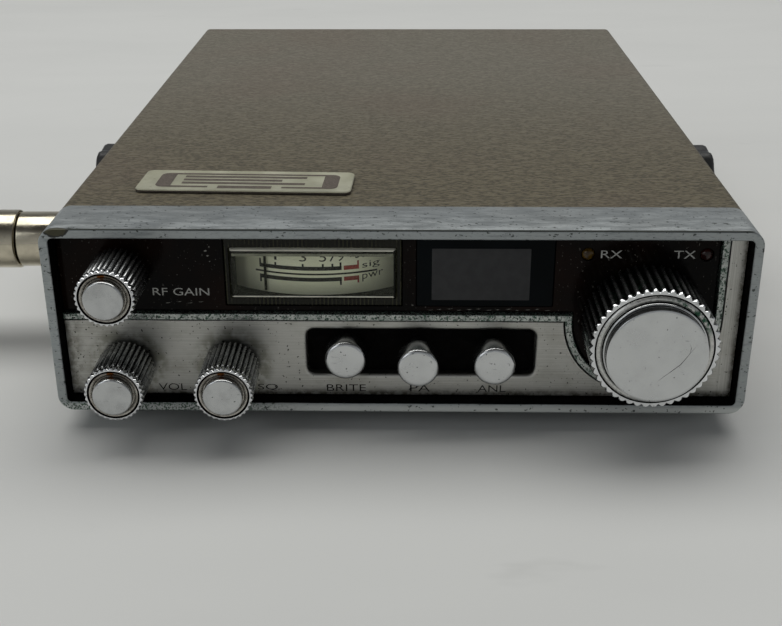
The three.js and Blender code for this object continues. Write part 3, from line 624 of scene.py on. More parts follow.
def dial_finish():
    """Aged cream meter card, dark and hatched below its curved lower edge."""
    f = Finish("dial_card", Roughness=0.6)
    f.clouds(f.noise(0.12, 3), (0.84, 0.86, 0.61), (0.93, 0.95, 0.71))
    x0, x1, _, _ = face_bounds("meter_lens")
    edge = f.plus(f.axis("z"), f.times(f.away(f.axis("x"), (x0 + x1) / 2), 0.045))
    hatching = f.math("SINE", f.times(f.axis("x"), TURN / 0.62))
    shade = f.mixed(f.scaled(hatching, -0.3, 0.5), (0.05, 0.05, 0.035), (0.20, 0.20, 0.14))
    f.lay(f.scaled(edge, 27.4, 27.1, 0, 0.9), shade)
    f.lay(f.scaled(f.axis("x"), x0 + 5, x0 + 3, 0, 0.45), (0.16, 0.16, 0.10))
    f.bump(f.noise(2.5, 3, 0.6), 0.01)
    return f.material


def lens_rim_finish():
    """Dark olive moulded rim of the meter lens, hatched with fine upright ribs."""
    f = Finish("meter_lens_rim", IOR=1.45, Specular_IOR_Level=0.2)
    ribs = f.math("SINE", f.times(f.axis("x"), TURN / 0.95))
    f.colour(f.mixed(f.scaled(ribs, 0.2, 0.9), (0.004, 0.004, 0.002), (0.034, 0.034, 0.018)))
    f.lay(f.scaled(f.noise(0.3, 3), 0.4, 0.6), (0.010, 0.010, 0.006))
    f.gloss(f.noise(1.0, 3, seed=1), 0.14, 0.3, 0.7)
    f.bump(ribs, 0.05, 0.6)
    return f.material


def clear_finish(name, colour, alpha):
    """Clear plastic with faint smears."""
    f = Finish(name, IOR=1.45, Alpha=alpha)
    f.clouds(f.noise(0.2, 3), colour, [c * 0.8 for c in colour], 0.4)
    f.gloss(f.noise(0.5, 4, 0.6, seed=1), 0.04, 0.12, 0.7)
    return f.material


def glass_finish():
    """Blue-black display glass."""
    f = Finish("display_glass", IOR=1.4, Specular_IOR_Level=0.07)
    f.clouds(f.noise(0.1, 2), (0.0016, 0.0026, 0.0032), (0.0024, 0.0040, 0.0050), 0.4)
    f.gloss(f.noise(0.4, 4, 0.6, seed=1), 0.05, 0.12, 0.7)
    f.bump(f.noise(0.7, 2, 0.5, seed=2), 0.008, 0.3)
    return f.material


def screen_finish():
    """Matt grey display area."""
    f = Finish("display_grey", IOR=1.3, Specular_IOR_Level=0.2)
    f.clouds(f.noise(0.4, 3), (0.043, 0.043, 0.044), (0.050, 0.050, 0.051))
    f.gloss(f.noise(1.0, 3, seed=1), 0.5, 0.65, 0.7)
    return f.material


def lamp_finish(name, colour, core):
    """Tinted lamp resin with paler clouds in it."""
    f = Finish(name, IOR=1.5, Specular_IOR_Level=0.3, Coat_Weight=0.15, Coat_Roughness=0.05)
    f.clouds(f.noise(1.1, 3), colour, core, 0.35, 0.65)
    f.gloss(f.noise(1.5, 3, seed=1), 0.12, 0.3, 0.7)
    f.bump(f.noise(1.4, 2, seed=2), 0.05)
    return f.material


def board_finish():
    """Green-brown circuit board with faint copper tracks under its mask."""
    f = Finish("circuit_board", IOR=1.5)
    tracks = f.scaled(f.cells(0.35, feature="DISTANCE_TO_EDGE"), 0.06, 0.1)
    f.colour(f.mixed(tracks, (0.20, 0.15, 0.05), (0.075, 0.07, 0.03)))
    f.lay(f.scaled(f.noise(0.2, 3), 0.4, 0.7, 0, 0.4), (0.05, 0.05, 0.03))
    f.roughness(f.scaled(tracks, 0, 1, 0.3, 0.5))
    f.bump(tracks, 0.05, 0.6)
    return f.material


def floor_finish():
    """Pale matt table top with faint smudges."""
    f = Finish("floor", IOR=1.4, Specular_IOR_Level=0.3)
    cloud = f.noise(0.006, 4, 0.55, (0.6, 1.4, 1))
    f.clouds(cloud, (0.640, 0.645, 0.632), (0.600, 0.606, 0.594))
    smudge = f.noise(0.03, 4, 0.6, (0.5, 1.6, 1), seed=1)
    f.lay(f.scaled(smudge, 0.64, 0.78, 0, 0.35), (0.47, 0.475, 0.465))
    f.gloss(cloud, 0.5, 0.62, 0.7)
    return f.material


BEZEL = bezel_finish()
PLATE = plate_finish()
TRIM = trim_finish()
CHROME = chrome_finish("chrome")
DISC = chrome_finish("polished_disc", (0.60, 0.61, 0.61), 0.16, 0.685, 0.12)
# Near-black chrome for the boss's side wall: a painted dark reflection of the room.
SHADED_BOSS_SIDE = chrome_finish("boss_side_dark_reflection", (0.035, 0.035, 0.035), 0.12, 0.70)
WORN_DISC = chrome_finish("worn_disc", (0.53, 0.54, 0.54), 0.18, 0.69)
RING = ring_finish()
NICKEL = nickel_finish()
WINDOW = window_finish()
BLACK = plastic_finish("black_plastic", (0.010, 0.010, 0.010))
MATT_BLACK = plastic_finish("matt_black", (0.0018, 0.0016, 0.0015), 0.7, 0.02, 0.03, 0.05)
RUBBER = plastic_finish("rubber", (0.016, 0.016, 0.015), 0.8, 0.06)
STEEL_PAINT = plastic_finish("black_steel", (0.014, 0.014, 0.015), 0.45, 0.05)
PLATED = metal_finish("plated_steel", (0.52, 0.50, 0.44))
CAN = metal_finish("control_can", (0.50, 0.48, 0.43), 0.42)
ALUMINIUM = metal_finish("cast_aluminium", (0.50, 0.51, 0.52), 0.5, (1, 1, 1), 0.15)
SHAFT = metal_finish("shaft_metal", (0.62, 0.62, 0.60), 0.3, (1, 4, 1), 0.1)
SCREW = metal_finish("screw_steel", (0.46, 0.45, 0.42), 0.35, (1, 1, 1), 0.5)
VINYL = vinyl_finish()
BADGE = badge_finish()
DIAL = dial_finish()
LENS_RIM = lens_rim_finish()
LENS = clear_finish("meter_lens", (0.50, 0.52, 0.40), 0.08)
# Pale, nearly opaque finish for the lens bevel: a painted highlight along the bevel's edges.
LENS_EDGE_HIGHLIGHT = clear_finish("meter_lens_edge_highlight", (0.86, 0.84, 0.72), 0.95)
SHADE = plastic_finish("meter_shade", (0.16, 0.165, 0.115), 0.5)
GLASS = glass_finish()
SCREEN = screen_finish()
AMBER = lamp_finish("amber_led", (0.030, 0.015, 0.002), (0.090, 0.050, 0.006))
RED = lamp_finish("red_led", (0.010, 0.002, 0.002), (0.030, 0.005, 0.004))
BOARD = board_finish()
PAPER = plastic_finish("speaker_paper", (0.020, 0.018, 0.015), 0.9, 0.1)
POINTER = plastic_finish("pointer_paint", (0.0015, 0.0015, 0.0015), 0.7, 0.01, 0.02, 0.05)
BLACK_INK = ink_finish("black_ink", (0.007, 0.007, 0.006))
RED_INK = ink_finish("red_ink", (0.26, 0.045, 0.035))
PALE_INK = ink_finish("pale_ink", (0.38, 0.38, 0.36))
BROWN_INK = ink_finish("brown_ink", (0.085, 0.070, 0.058))
DULL_INK = ink_finish("dull_mark", (0.10, 0.10, 0.10))
SCUFFS = scuff_finish()


# ---------------------------------------------------------------- front face

PLATE_FRONT = extent("escutcheon")[0].y
PLATE_BACK = extent("escutcheon")[1].y
WINDOW_FRONT = extent("window")[0].y
BEZEL_CORNER = 3.8
OPENING_LIP = 2.3  # width of the bezel's lip round its opening
OPENING_CORNER = 1.0
SELECTOR = middle("channel_knob")
TRIM_INNER = 16.65  # radius of the rib's inner edge round the channel selector
TRIM_WIDTH = 1.7
TRIM_TOP = 24.2
GAP = 0.3
BUTTON_SLOT = (-22.9, 33.0, 7.5, 20.7)
SLOT_CORNER = 2.5
SLOT_ROLL = 0.9  # radius of the slot's rolled edge
ROLL_START = 0.2  # the rolled edge starts this far outside the slot
BUSHING_R = 4.4
LAMP_HOLE_R = 1.65
BUTTONS = {"brightness_button": "brightness", "pa_button": "pa", "noise_limiter_button": "noise_limiter"}


def round_selector(r, start, end):
    return arc(SELECTOR.x, SELECTOR.z, r, start, end, 40)


def selector_start(r, level):
    """Angle at which a circle of radius r round the selector crosses a level below its middle."""
    return 180 + math.degrees(math.asin((SELECTOR.z - level) / r))


def make_bezel():
    """Satin front frame; the walls inside its opening are painted black."""
    low, high = extent("front_bezel")
    edge = face_bounds("front_bezel")
    opening = inset(edge, OPENING_LIP)
    outlines = [rectangle(*edge, BEZEL_CORNER, 10), rectangle(*opening, OPENING_CORNER, 5)[::-1]]
    mesh = plate_mesh("bezel_frame", outlines, low.y, high.y, 0.35)
    piece("bezel_frame", mesh, [BEZEL, MATT_BLACK], "front_bezel", 50)
    x0, x1, z0, z1 = inset(opening, -0.1)
    for face in mesh.polygons:
        x, _, z = face.center / MM
        if x0 < x < x1 and z0 < z < z1 and abs(face.normal.y) < 0.3:
            face.material_index = 1


def make_escutcheon():
    """Brushed plate under the window and up its right side, rolled inwards round the buttons."""
    x0, x1, z0, z1 = face_bounds("escutcheon")
    r = TRIM_INNER + TRIM_WIDTH + GAP
    level = TRIM_TOP - TRIM_WIDTH - GAP
    outline = [(x0, z0), (x1, z0), (x1, z1), (SELECTOR.x + r, z1)]
    outline += round_selector(r, 360, selector_start(r, level)) + [(x0, level)]
    holes = [rectangle(*BUTTON_SLOT, SLOT_CORNER)[::-1]]
    holes += [round_hole(control, BUSHING_R) for control in ("volume_knob", "squelch_knob")]
    mesh = plate_mesh("front_plate", [outline, *holes], PLATE_FRONT, PLATE_BACK, 0.12)
    piece("front_plate", mesh, [PLATE], "escutcheon")

    def slot_loop(inwards, y):
        return upright(rectangle(*inset(BUTTON_SLOT, inwards), SLOT_CORNER - inwards, 8), y)

    loops = []
    for degrees in range(0, 91, 15):
        turn = math.radians(degrees)
        y = PLATE_FRONT - SKIN / 2 + SLOT_ROLL * (1 - math.cos(turn))
        loops.append(slot_loop(SLOT_ROLL * math.sin(turn) - ROLL_START, y))
    loops.append(slot_loop(SLOT_ROLL - ROLL_START, PLATE_BACK))
    piece("slot_edge", Shape().tube(loops), [PLATE], sharp=60)


def make_trim():
    """Bright rib under the window, round the selector and up beside the plate's right strip."""
    low, high = extent("window_trim")
    inner, outer = TRIM_INNER, TRIM_INNER + TRIM_WIDTH
    level = TRIM_TOP - TRIM_WIDTH
    outline = [(low.x, level)] + round_selector(outer, selector_start(outer, level), 360)
    outline += [(SELECTOR.x + outer, high.z), (SELECTOR.x + inner, high.z)]
    outline += round_selector(inner, 360, 180)
    outline += [(SELECTOR.x - inner, TRIM_TOP), (low.x, TRIM_TOP)]
    mesh = plate_mesh("trim_rib", [outline], low.y, high.y, 0.25)
    piece("trim_rib", mesh, [TRIM], "window_trim")


def make_window():
    """Glossy black panel with openings for the meter, the display, the lamps and two shafts."""
    low, high = extent("window")
    r = TRIM_INNER - GAP
    foot = TRIM_TOP + GAP
    outline = [(low.x, foot), (SELECTOR.x - r, foot)] + round_selector(r, 180, 360)
    outline += [(SELECTOR.x + r, high.z), (low.x, high.z)]
    panes = ("meter_lens", "display_glass")
    holes = [rectangle(*inset(face_bounds(pane), -0.2), 0.3, 3)[::-1] for pane in panes]
    holes += [round_hole(lamp, LAMP_HOLE_R, 20) for lamp in ("rx_led", "tx_led")]
    holes += [round_hole(control, BUSHING_R) for control in ("rf_gain_knob", "channel_knob")]
    mesh = plate_mesh("window_panel", [outline, *holes], low.y, high.y, 0.08)
    piece("window_panel", mesh, [WINDOW], "window")


def make_scuffs():
    """Short pale scuffs under the display and under the gain label, and a few beside the meter."""
    strokes = [(6.5 + 2.3 * i, 24.85 + 0.16 * (i % 3), 1.5 - 0.35 * (i % 2), 0.16) for i in range(13)]
    strokes += [(-45.6, 39.6, 0.9, 0.5), (-45.1, 38.4, 0.7, 0.45)]
    strokes += [(-44.4, 40.6, 0.3, 0.6), (-44.5, 37.0, 0.4, 0.3)]
    strokes += [(-55.5 + 2.6 * i, 26.4 + 0.3 * (i % 2), 1.3, 0.2) for i in range(4)]
    scuffs = Shape()
    for x, z, length, width in strokes:
        waist, half = x + length / 2, width / 2
        spindle = [(x, z), (waist, z - half), (x + length, z + 0.1), (waist, z + half)]
        scuffs.polygon(upright(spindle, WINDOW_FRONT - SKIN))
    piece("window_scuffs", scuffs, [SCUFFS])


# ---------------------------------------------------------------- lettering

LETTER_STROKE = 0.004  # how much the letters are thinned


def letters(name, words, place, ink):
    """A piece of flat letters. place turns a point of the unit square into millimetres."""
    curve = bpy.data.curves.new(name, "FONT")
    curve.body = words
    curve.resolution_u = 3
    curve.offset = -LETTER_STROKE
    mesh = baked(bpy.data.objects.new(name, curve))
    xs = [v.co.x for v in mesh.vertices]
    ys = [v.co.y for v in mesh.vertices]
    width, height = max(xs) - min(xs), max(ys) - min(ys)
    for v in mesh.vertices:
        v.co = Vector(place((v.co.x - min(xs)) / width, (v.co.y - min(ys)) / height)) * MM
    piece(name, mesh, [ink])


def print_label(name, words, x0, x1, z0, z1, surface, ink):
    def place(u, v):
        return x0 + (x1 - x0) * u, surface - SKIN, z0 + (z1 - z0) * v

    letters(f"label_{name}", words, place, ink)


def make_labels():
    """Pale words on the window, and dark ones on the plate under their controls."""
    for name, words, bounds in (
        ("receive", "RX", (46.5, 51.4, 38.2, 40.1)),
        ("transmit", "TX", (63.3, 68.3, 38.2, 40.1)),
        ("gain", "RF GAIN", (-58.3, -44.9, 28.35, 30.25)),
    ):
        print_label(name, words, *bounds, WINDOW_FRONT, PALE_INK)
    foot, top = 3.6, 5.4
    for words, x0, x1 in (
        ("VOL", -58.7, -51.8), ("SQ", -34.5, -29.6),
        ("BRITE", -17.7, -8.2), ("PA", 2.5, 7.35), ("ANL", 18.9, 25.65),
    ):
        print_label(words.lower(), words, x0, x1, foot, top, PLATE_FRONT, BLACK_INK)


# ---------------------------------------------------------------- meter

DIAL_R = 33.6  # radius of the curved card, about the pointer's pivot
PIVOT = middle("meter_movement")
PRINT_LIFT = 0.06  # how far the printing stands in front of the card
UPPER, LINE, LOWER = 33.9, 32.45, 31.1  # heights of the two scales and of the line between them
SCALE_START, SCALE_RED, SCALE_END = -33.5, -13.3, -9.75  # x of the scales' ends and of their red part
HALF_BAR = 0.49
HALF_TICK = 0.22


def on_dial(along, z, lift=PRINT_LIFT):
    """A point on the card. along is measured round its curve, from the middle."""
    angle = along / DIAL_R
    r = DIAL_R + lift
    return PIVOT.x + r * math.sin(angle), PIVOT.y - r * math.cos(angle), z


def dial_place(x):
    """Distance round the card at which a given x lies."""
    return DIAL_R * math.asin((x - PIVOT.x) / DIAL_R)


def band(shape, x0, x1, z0, z1, lift=PRINT_LIFT):
    """Printed band on the card, from one x to another."""
    start, end = dial_place(x0), dial_place(x1)
    count = max(2, round((end - start) / 0.6))
    vertices = []
    for i in range(count + 1):
        along = start + (end - start) * i / count
        vertices += [on_dial(along, z0, lift), on_dial(along, z1, lift)]
    faces = [[2 * i, 2 * i + 2, 2 * i + 3, 2 * i + 1] for i in range(count)]
    return shape.add(vertices, faces)


def dial_text(name, words, x0, x1, z0, z1, rise=0.0):
    """Letters on the card, which climb by rise from their first to their last."""

    def place(u, v):
        return on_dial(dial_place(x0 + (x1 - x0) * u), z0 + (z1 - z0) * v + rise * u)

    letters(f"meter_{name}", words, place, BLACK_INK)


def make_dial():
    """Curved card with two scales, a thin line between them, red ends, numbers and words."""
    x0, x1, z0, z1 = face_bounds("meter_lens")
    card = band(Shape(), x0 + 1.3, x1 - 1.3, z0 + 0.6, z1 - 0.8, 0)
    piece("meter_card", card, [DIAL], "meter_dial")

    black, ends = Shape(), Shape()
    for level, tick in ((UPPER, 1.6), (LOWER, -1.3)):
        band(black, SCALE_START, SCALE_RED - 0.5, level - HALF_BAR, level + HALF_BAR)
        band(ends, SCALE_RED, SCALE_END, level - HALF_BAR - 0.05, level + HALF_BAR + 0.05)
        band(ends, SCALE_END - 0.4, SCALE_END, min(level, level + tick), max(level, level + tick))
    band(black, SCALE_START - 1.0, -5.5, LINE - 0.21, LINE + 0.21)
    ticks = {-33.3: 1.7, -29.55: 1.2, -22.95: 1.2, -18.2: 1.2, -15.95: 1.2, -14.05: 1.45}
    for x, height in ticks.items():
        band(black, x - HALF_TICK, x + HALF_TICK, UPPER, UPPER + height)
    for x in (-33.3, -14.05):
        band(black, x - HALF_TICK, x + HALF_TICK, LOWER - 1.5, LOWER)
    piece("meter_scale", black, [BLACK_INK])
    piece("meter_scale_ends", ends, [RED_INK])

    for number, x in (("1", -29.5), ("3", -22.9), ("5", -18.2), ("7", -15.9), ("9", -14.0)):
        half_width = 0.3 if number == "1" else 0.85
        dial_text(f"number_{number}", number, x - half_width, x + half_width, 35.7, 38.0)
    dial_text("number_30", "+30", -12.3, -8.0, 36.1, 38.2)
    dial_text("word_signal", "sig", -9.0, -4.9, 32.9, 34.9, 0.35)
    dial_text("word_power", "pwr", -9.0, -4.1, 29.9, 31.8, 0.5)


def make_lens():
    """Clear cover with a hatched rim and a bevel in a pale, nearly opaque finish as a painted highlight,
    and behind it a shade over the card's top whose upper part is black as painted shade.
    """
    low, high = extent("meter_lens")
    edge = face_bounds("meter_lens")
    rim_front = low.y + 0.6
    field = (low.x + 1.5, high.x - 1.5, 28.2, 40.3)

    def loops(bounds, rows):
        return [upright(rectangle(*inset(bounds, inwards), r, 3), y) for inwards, r, y in rows]

    rim = loops(edge, [(0, 0.4, high.y), (0, 0.4, rim_front + 0.25), (0.25, 0.3, rim_front)])
    rim += loops(field, [(-0.45, 0.5, rim_front), (-0.15, 0.4, rim_front + 0.3)])
    slope = loops(field, [
        (-0.12, 0.4, rim_front + 0.25), (0.05, 0.4, low.y + 0.18),
        (0.26, 0.35, low.y), (0.42, 0.3, low.y + 0.08), (0.5, 0.3, low.y + 0.08),
    ])
    lens = Shape().tube(rim, 0).tube(slope[:-1], 1).skin(slope[-2:], 2, start=False)
    mesh = lens.mesh("meter_lens_cover")
    piece("meter_lens_cover", mesh, [LENS_RIM, LENS_EDGE_HIGHLIGHT, LENS], "meter_lens", 25)
    # Only the bevel's upper and lower faces keep the painted highlight; its side faces take the rim's
    # finish.
    for face in mesh.polygons:
        if face.material_index == 1 and abs(face.normal.x) > abs(face.normal.z):
            face.material_index = 0

    shade = Shape()
    foot, step, top = 38.4, 39.05, field[3] - 0.05
    # The upper box is matt black: painted shade standing for the dark gap above the strip.
    for finish, (z0, z1) in enumerate(((foot, step), (step, top))):
        shade.box((field[0] + 0.1, low.y + 0.6, z0), (field[1] - 0.1, low.y + 0.9, z1), finish)
    piece("meter_shade", shade, [SHADE, MATT_BLACK])


# ---------------------------------------------------------------- display and lamps

SCREEN_BOUNDS = (7.5, 30.4, 27.6, 40.5)
LAMP_R = 1.5


def make_display():
    """Glossy pane with a plain grey display area on it."""
    low, high = extent("display_glass")
    pane = rectangle(*face_bounds("display_glass"), 0.4, 3)
    mesh = plate_mesh("display_pane", [pane], low.y, high.y, 0.12)
    piece("display_pane", mesh, [GLASS], "display_glass")
    screen = rectangle(*SCREEN_BOUNDS, 0.15, 2)
    printed = Shape().skin([upright(screen, low.y - SKIN), upright(screen, low.y)])
    piece("display_screen", printed, [SCREEN])


def make_lamps():
    """Domed lamps that stand through the window, on a wider flange behind it."""
    dome_foot = WINDOW_FRONT + 0.5
    for lamp, resin, slot in (("rx_led", AMBER, "amber_led"), ("tx_led", RED, "red_led")):
        low, high = extent(lamp)
        profile = [(2.0, high.y), (2.0, high.y - 1.2), (LAMP_R, high.y - 1.3)]
        profile += [(LAMP_R, dome_foot + 1.0), (LAMP_R, dome_foot)]
        for degrees in range(15, 90, 15):
            turn = math.radians(degrees)
            profile.append((LAMP_R * math.cos(turn), dome_foot - 1.1 * math.sin(turn)))
        profile.append((0.15, low.y))
        body = Shape().turned("y", middle(lamp), profile, 24)
        piece(f"{lamp}_lamp", body, [resin], lamp)


# ---------------------------------------------------------------- controls


def make_buttons():
    """Chrome caps with a bright edge and a faintly domed face, on dark stems."""
    for node, body in BUTTONS.items():
        low, high = extent(node)
        r = (high.x - low.x) / 2
        face = low.y
        cap = [(r - 0.3, face + 6.0), (r, face + 5.7), (r, face + 0.75), (r - 0.25, face + 0.3)]
        cap += [(r - 0.7, face + 0.04), (r - 1.2, face), (1.0, face - 0.02)]
        stem = [(2.9, face + 5.9), (2.9, face + 7.4), (2.6, face + 7.6), (2.6, high.y)]
        shape = Shape().turned("y", middle(node), eased(cap, 0.3), 56)
        shape.turned("y", middle(node), eased(stem, 0.2), 32, 1)
        piece(f"{node}_cap", shape, [DISC, BLACK], node, 40, body)


def knob_grip(node, ribs, samples, grip, rim, rings):
    """Knob with ribs behind, teeth in front of them and plain rings inside the teeth.

    grip and rim are (sharpness, rows of depth, radius of the tips and radius of the valleys).
    rings are (finish, rows of depth and radius), and the last of them closes the knob.
    Depths are behind the knob's face.
    """
    centre, face = middle(node), extent(node)[0].y

    def ring(depth, radius):
        return around("y", centre, radius, face + depth, ribs * samples)

    def ribbed(sharpness, rows):
        return [ring(depth, fluted(tip, root, ribs, sharpness)) for depth, tip, root in rows]

    def plain(rows):
        return [ring(*row) for row in rows]

    ribs_behind, teeth = ribbed(*grip), ribbed(*rim)
    shape = Shape().skin(ribs_behind, 0, end=False)
    shape.tube([ribs_behind[-1], *teeth, *plain(rings[0][1][:1])], 1)
    edge = []
    for finish, rows in rings:
        loops = edge + plain(rows)
        shape.skin(loops, finish, start=False, end=rows is rings[-1][1])
        edge = loops[-1:]
    return shape


def make_small_knob(control):
    """Ribbed grip with a toothed rim, a dark groove, a tarnished ring with painted shade on its upper
    half, and a raised polished disc.
    """
    node = f"{control}_knob"
    low, high = extent(node)
    tip, depth = (high.x - low.x) / 2, high.y - low.y
    grip = [
        (depth, 5.2, 5.2), (depth, 5.7, 5.5), (depth - 0.4, 6.3, 5.75), (depth - 0.9, tip - 0.15, 5.95),
        (2.3, tip - 0.15, 5.95), (1.9, 6.35, 6.1), (1.75, 6.5, 6.3),
    ]
    rim = [(1.5, tip, 6.4), (0.6, tip, 6.4), (0.15, 6.75, 6.35), (0, 6.45, 6.25)]
    groove = [(0, 6.1), (0.1, 6.04), (0.7, 6.0), (0.7, 5.72), (0.15, 5.68)]
    ring = [(0.05, 5.58), (0.05, 5.3), (0.3, 4.95), (0.6, 4.78)]
    shape = knob_grip(node, 32, 8, (0.9, grip), (1.3, rim), [(2, groove), (3, ring)])
    fluting = grip_finish(f"{control}_ribs", node, tip - 0.2, 6.0)
    tarnished_and_shaded_ring = rim_finish(f"{control}_ring", node)
    finishes = [fluting, CHROME, MATT_BLACK, tarnished_and_shaded_ring]
    piece(f"{control}_grip", shape, finishes, node, 40, control)

    disc = f"{control}_knob_cap"
    top = extent(disc)[0].y
    profile = [(4.62, low.y + 0.6), (4.62, top + 0.5), (4.5, top + 0.14), (4.2, top)]
    profile += [(4.0, top + 0.03), (0.5, top + 0.05)]
    dome = Shape().turned("y", middle(node), eased(profile, 0.15), 72)
    piece(f"{control}_disc", dome, [WORN_DISC], disc, 50, control)


def make_channel_knob():
    """Large selector: toothed skirt, dark groove and satin ring."""
    node = "channel_knob"
    low, high = extent(node)
    tip, depth = (high.x - low.x) / 2, high.y - low.y
    root = tip - 0.85
    grip = [
        (depth, 11.5, 11.5), (depth, root - 0.4, root - 0.6), (depth - 0.3, tip - 0.4, root - 0.2),
        (depth - 0.7, tip - 0.1, root - 0.1), (1.7, tip - 0.1, root - 0.1),
    ]
    rim = [(1.5, tip, root), (0.9, tip, root), (0.5, tip - 0.3, root - 0.1)]
    groove = [(0.45, 13.5), (1.1, 13.45), (1.1, 13.2), (0.45, 13.15)]
    ring = [(0.25, 13.0), (0, 12.6), (0, 12.15), (0.1, 12.02)]
    gap = [(0.8, 11.98), (0.8, 11.85)]
    shape = knob_grip(node, 46, 6, (2.2, grip), (1.1, rim), [(2, groove), (3, ring), (2, gap)])
    fluting = grip_finish("channel_ribs", node, tip - 0.12, root + 0.2, 0.5)
    piece("channel_grip", shape, [fluting, CHROME, MATT_BLACK, RING], node, 40, "channel")


def make_channel_boss():
    """Raised boss of the selector: a bead, a side of near-black chrome as a painted dark reflection, and a
    polished face with two scratches.
    """
    front = extent("channel_knob")[0].y
    top = extent("channel_knob_cap")[0].y
    bead, wall, flat = 11.78, 11.3, 10.7
    base = [(bead, front + 0.7), (bead, front - 0.1)]
    for degrees in range(15, 91, 15):
        turn = math.radians(degrees)
        base.append((bead - 0.36 * (1 - math.cos(turn)), front - 0.1 - 0.4 * math.sin(turn)))
    base.append((wall, front - 0.45))
    face = [(wall, top + 0.12), (wall - 0.06, top + 0.05), (flat, top)]
    face += [(flat - 0.2, top + 0.02), (1.0, top + 0.05)]
    boss = Shape().turned("y", SELECTOR, base, 112, 0, end=False)
    boss.turned("y", SELECTOR, [base[-1], face[0]], 112, 1, start=False, end=False)
    boss.turned("y", SELECTOR, face, 112, 0, start=False)
    piece("channel_boss", boss, [DISC, SHADED_BOSS_SIDE], "channel_knob_cap", 50, "channel")

    scratch = Shape()
    for start, bend, end in (((8.6, 3.2), (5.2, -1.9), (0.3, -6.2)), ((6.6, 3.6), (7.2, 2.2), (6.9, 0.6))):
        corners = [start, (bend[0] - 0.05, bend[1] + 0.05), end, (bend[0] + 0.06, bend[1] - 0.06)]
        scratch.polygon([(SELECTOR.x + x, top + 0.01, SELECTOR.z + z) for x, z in corners])
    piece("channel_scratch", scratch, [DULL_INK], body="channel")


# ---------------------------------------------------------------- screws

# Radius, as a share of the screw's own, and height of the rings of a domed screw head.
SCREW_RINGS = (
    (1.0, 0), (1.0, 0.35), (0.93, 0.75), (0.8, 1.0), (0.62, 1.12),
    (0.55, 1.14), (0.42, 1.16), (0.3, 1.18), (0.2, 1.2), (0.1, 1.2),
)
RECESS_DEPTH = 0.85
RECESS_REACH = 0.6  # how far out the cross goes, as a share of the radius
RECESS_ARM = 0.13  # half an arm's width, as a share of the radius


def screw(shape, axis, place, outwards, r):
    """Domed screw head with a cross recess. outwards is +1 or -1 along the axis."""
    count = 48
    along = getattr(place, axis)
    loops = []
    for share, height in SCREW_RINGS:
        loop = []
        for i in range(count):
            angle = TURN * i / count
            a, b = share * r * math.cos(angle), share * r * math.sin(angle)
            sunk = share < RECESS_REACH and min(abs(a), abs(b)) < r * RECESS_ARM
            rise = height - (RECESS_DEPTH if sunk else 0)
            loop.append(beside(axis, place, a, b, along + outwards * rise))
        loops.append(loop)
    shape.skin(loops)


def make_screws():
    """Cover screws on both sides, in the corners of the rear panel and on the underside."""
    case_low, case_high = extent("top_cover")
    low, high = extent("rear_panel")
    socket = middle("antenna_socket")
    corners = product((low.x + 7, high.x - 7), (low.z + 5, high.z - 5))
    rear = [("y", (x, high.y, z), 1, 2.2) for x, z in corners]
    for x, z in product((-9, 9), repeat=2):
        rear.append(("y", (socket.x + x, high.y + 1.9, socket.z + z), 1, 1.7))
    groups = {
        "left_cover": [("x", (case_low.x, at(depth), 8), -1, 2.4) for depth in (30, 205)],
        "right_cover": [("x", (case_high.x, at(depth), 8), 1, 2.4) for depth in (30, 205)],
        "rear": rear,
        "underside": [("z", (x, at(depth), 0), -1, 2.4) for x, depth in product((-72, 72), (60, 190))],
    }
    for name, screws in groups.items():
        shape = Shape()
        for axis, place, outwards, r in screws:
            screw(shape, axis, Vector(place), outwards, r)
        piece(f"{name}_screws", shape, [SCREW], sharp=30)


# ---------------------------------------------------------------- covers and side hardware


def make_top_cover():
    """Folded cover with soft side bends and a hollow underside."""
    low, high = extent("top_cover")
    sheet, bend = 1.2, 2.2

    def fold(half, r):
        """The cover's section from its left skirt over the top to its right skirt."""
        left = arc(low.x + bend, high.z - bend, r, 180, 90, 8)
        right = arc(high.x - bend, high.z - bend, r, 90, 0, 8)
        return [(-half, low.z), *left, *right, (half, low.z)]

    section = fold(high.x, bend) + fold(high.x - sheet, bend - sheet)[::-1]
    ends = [low.y, low.y + 0.02, high.y - 0.02, high.y]
    cover = Shape().skin([upright(section, y) for y in ends])
    piece("cover_skin", cover, [VINYL], "top_cover", 40)


def make_side_knobs():
    """Lobed plastic thumbscrews with a dished face, and the soft washers behind them."""
    case = extent("top_cover")[1].x
    near = case + 2.8
    for side, outwards in (("left", -1), ("right", 1)):
        node, washer = f"{side}_bracket_knob", f"{side}_bracket_washer"
        low, high = extent(node)
        far = max(-low.x, high.x)
        profile = [
            (2.4, case - 7.5, 0), (2.4, near, 0), (10.6, near, 0.3), (11.8, near + 0.3, 0.6),
            (12.25, near + 1.0, 0.75), (12.25, far - 1.6, 0.75), (11.9, far - 0.7, 0.7),
            (11.0, far - 0.12, 0.5), (10.2, far, 0.25), (7.2, far, 0), (6.6, far - 0.2, 0),
            (6.2, far - 1.1, 0), (1.0, far - 1.2, 0),
        ]
        loops = [around("x", middle(node), lobed(r, lobe), outwards * x, 128) for r, x, lobe in profile]
        head = Shape().skin(loops)
        piece(f"{side}_thumbscrew_head", head, [BLACK], node, 40, f"{side}_thumbscrew")
        soften(washer, 0.3, RUBBER, ending="pad")


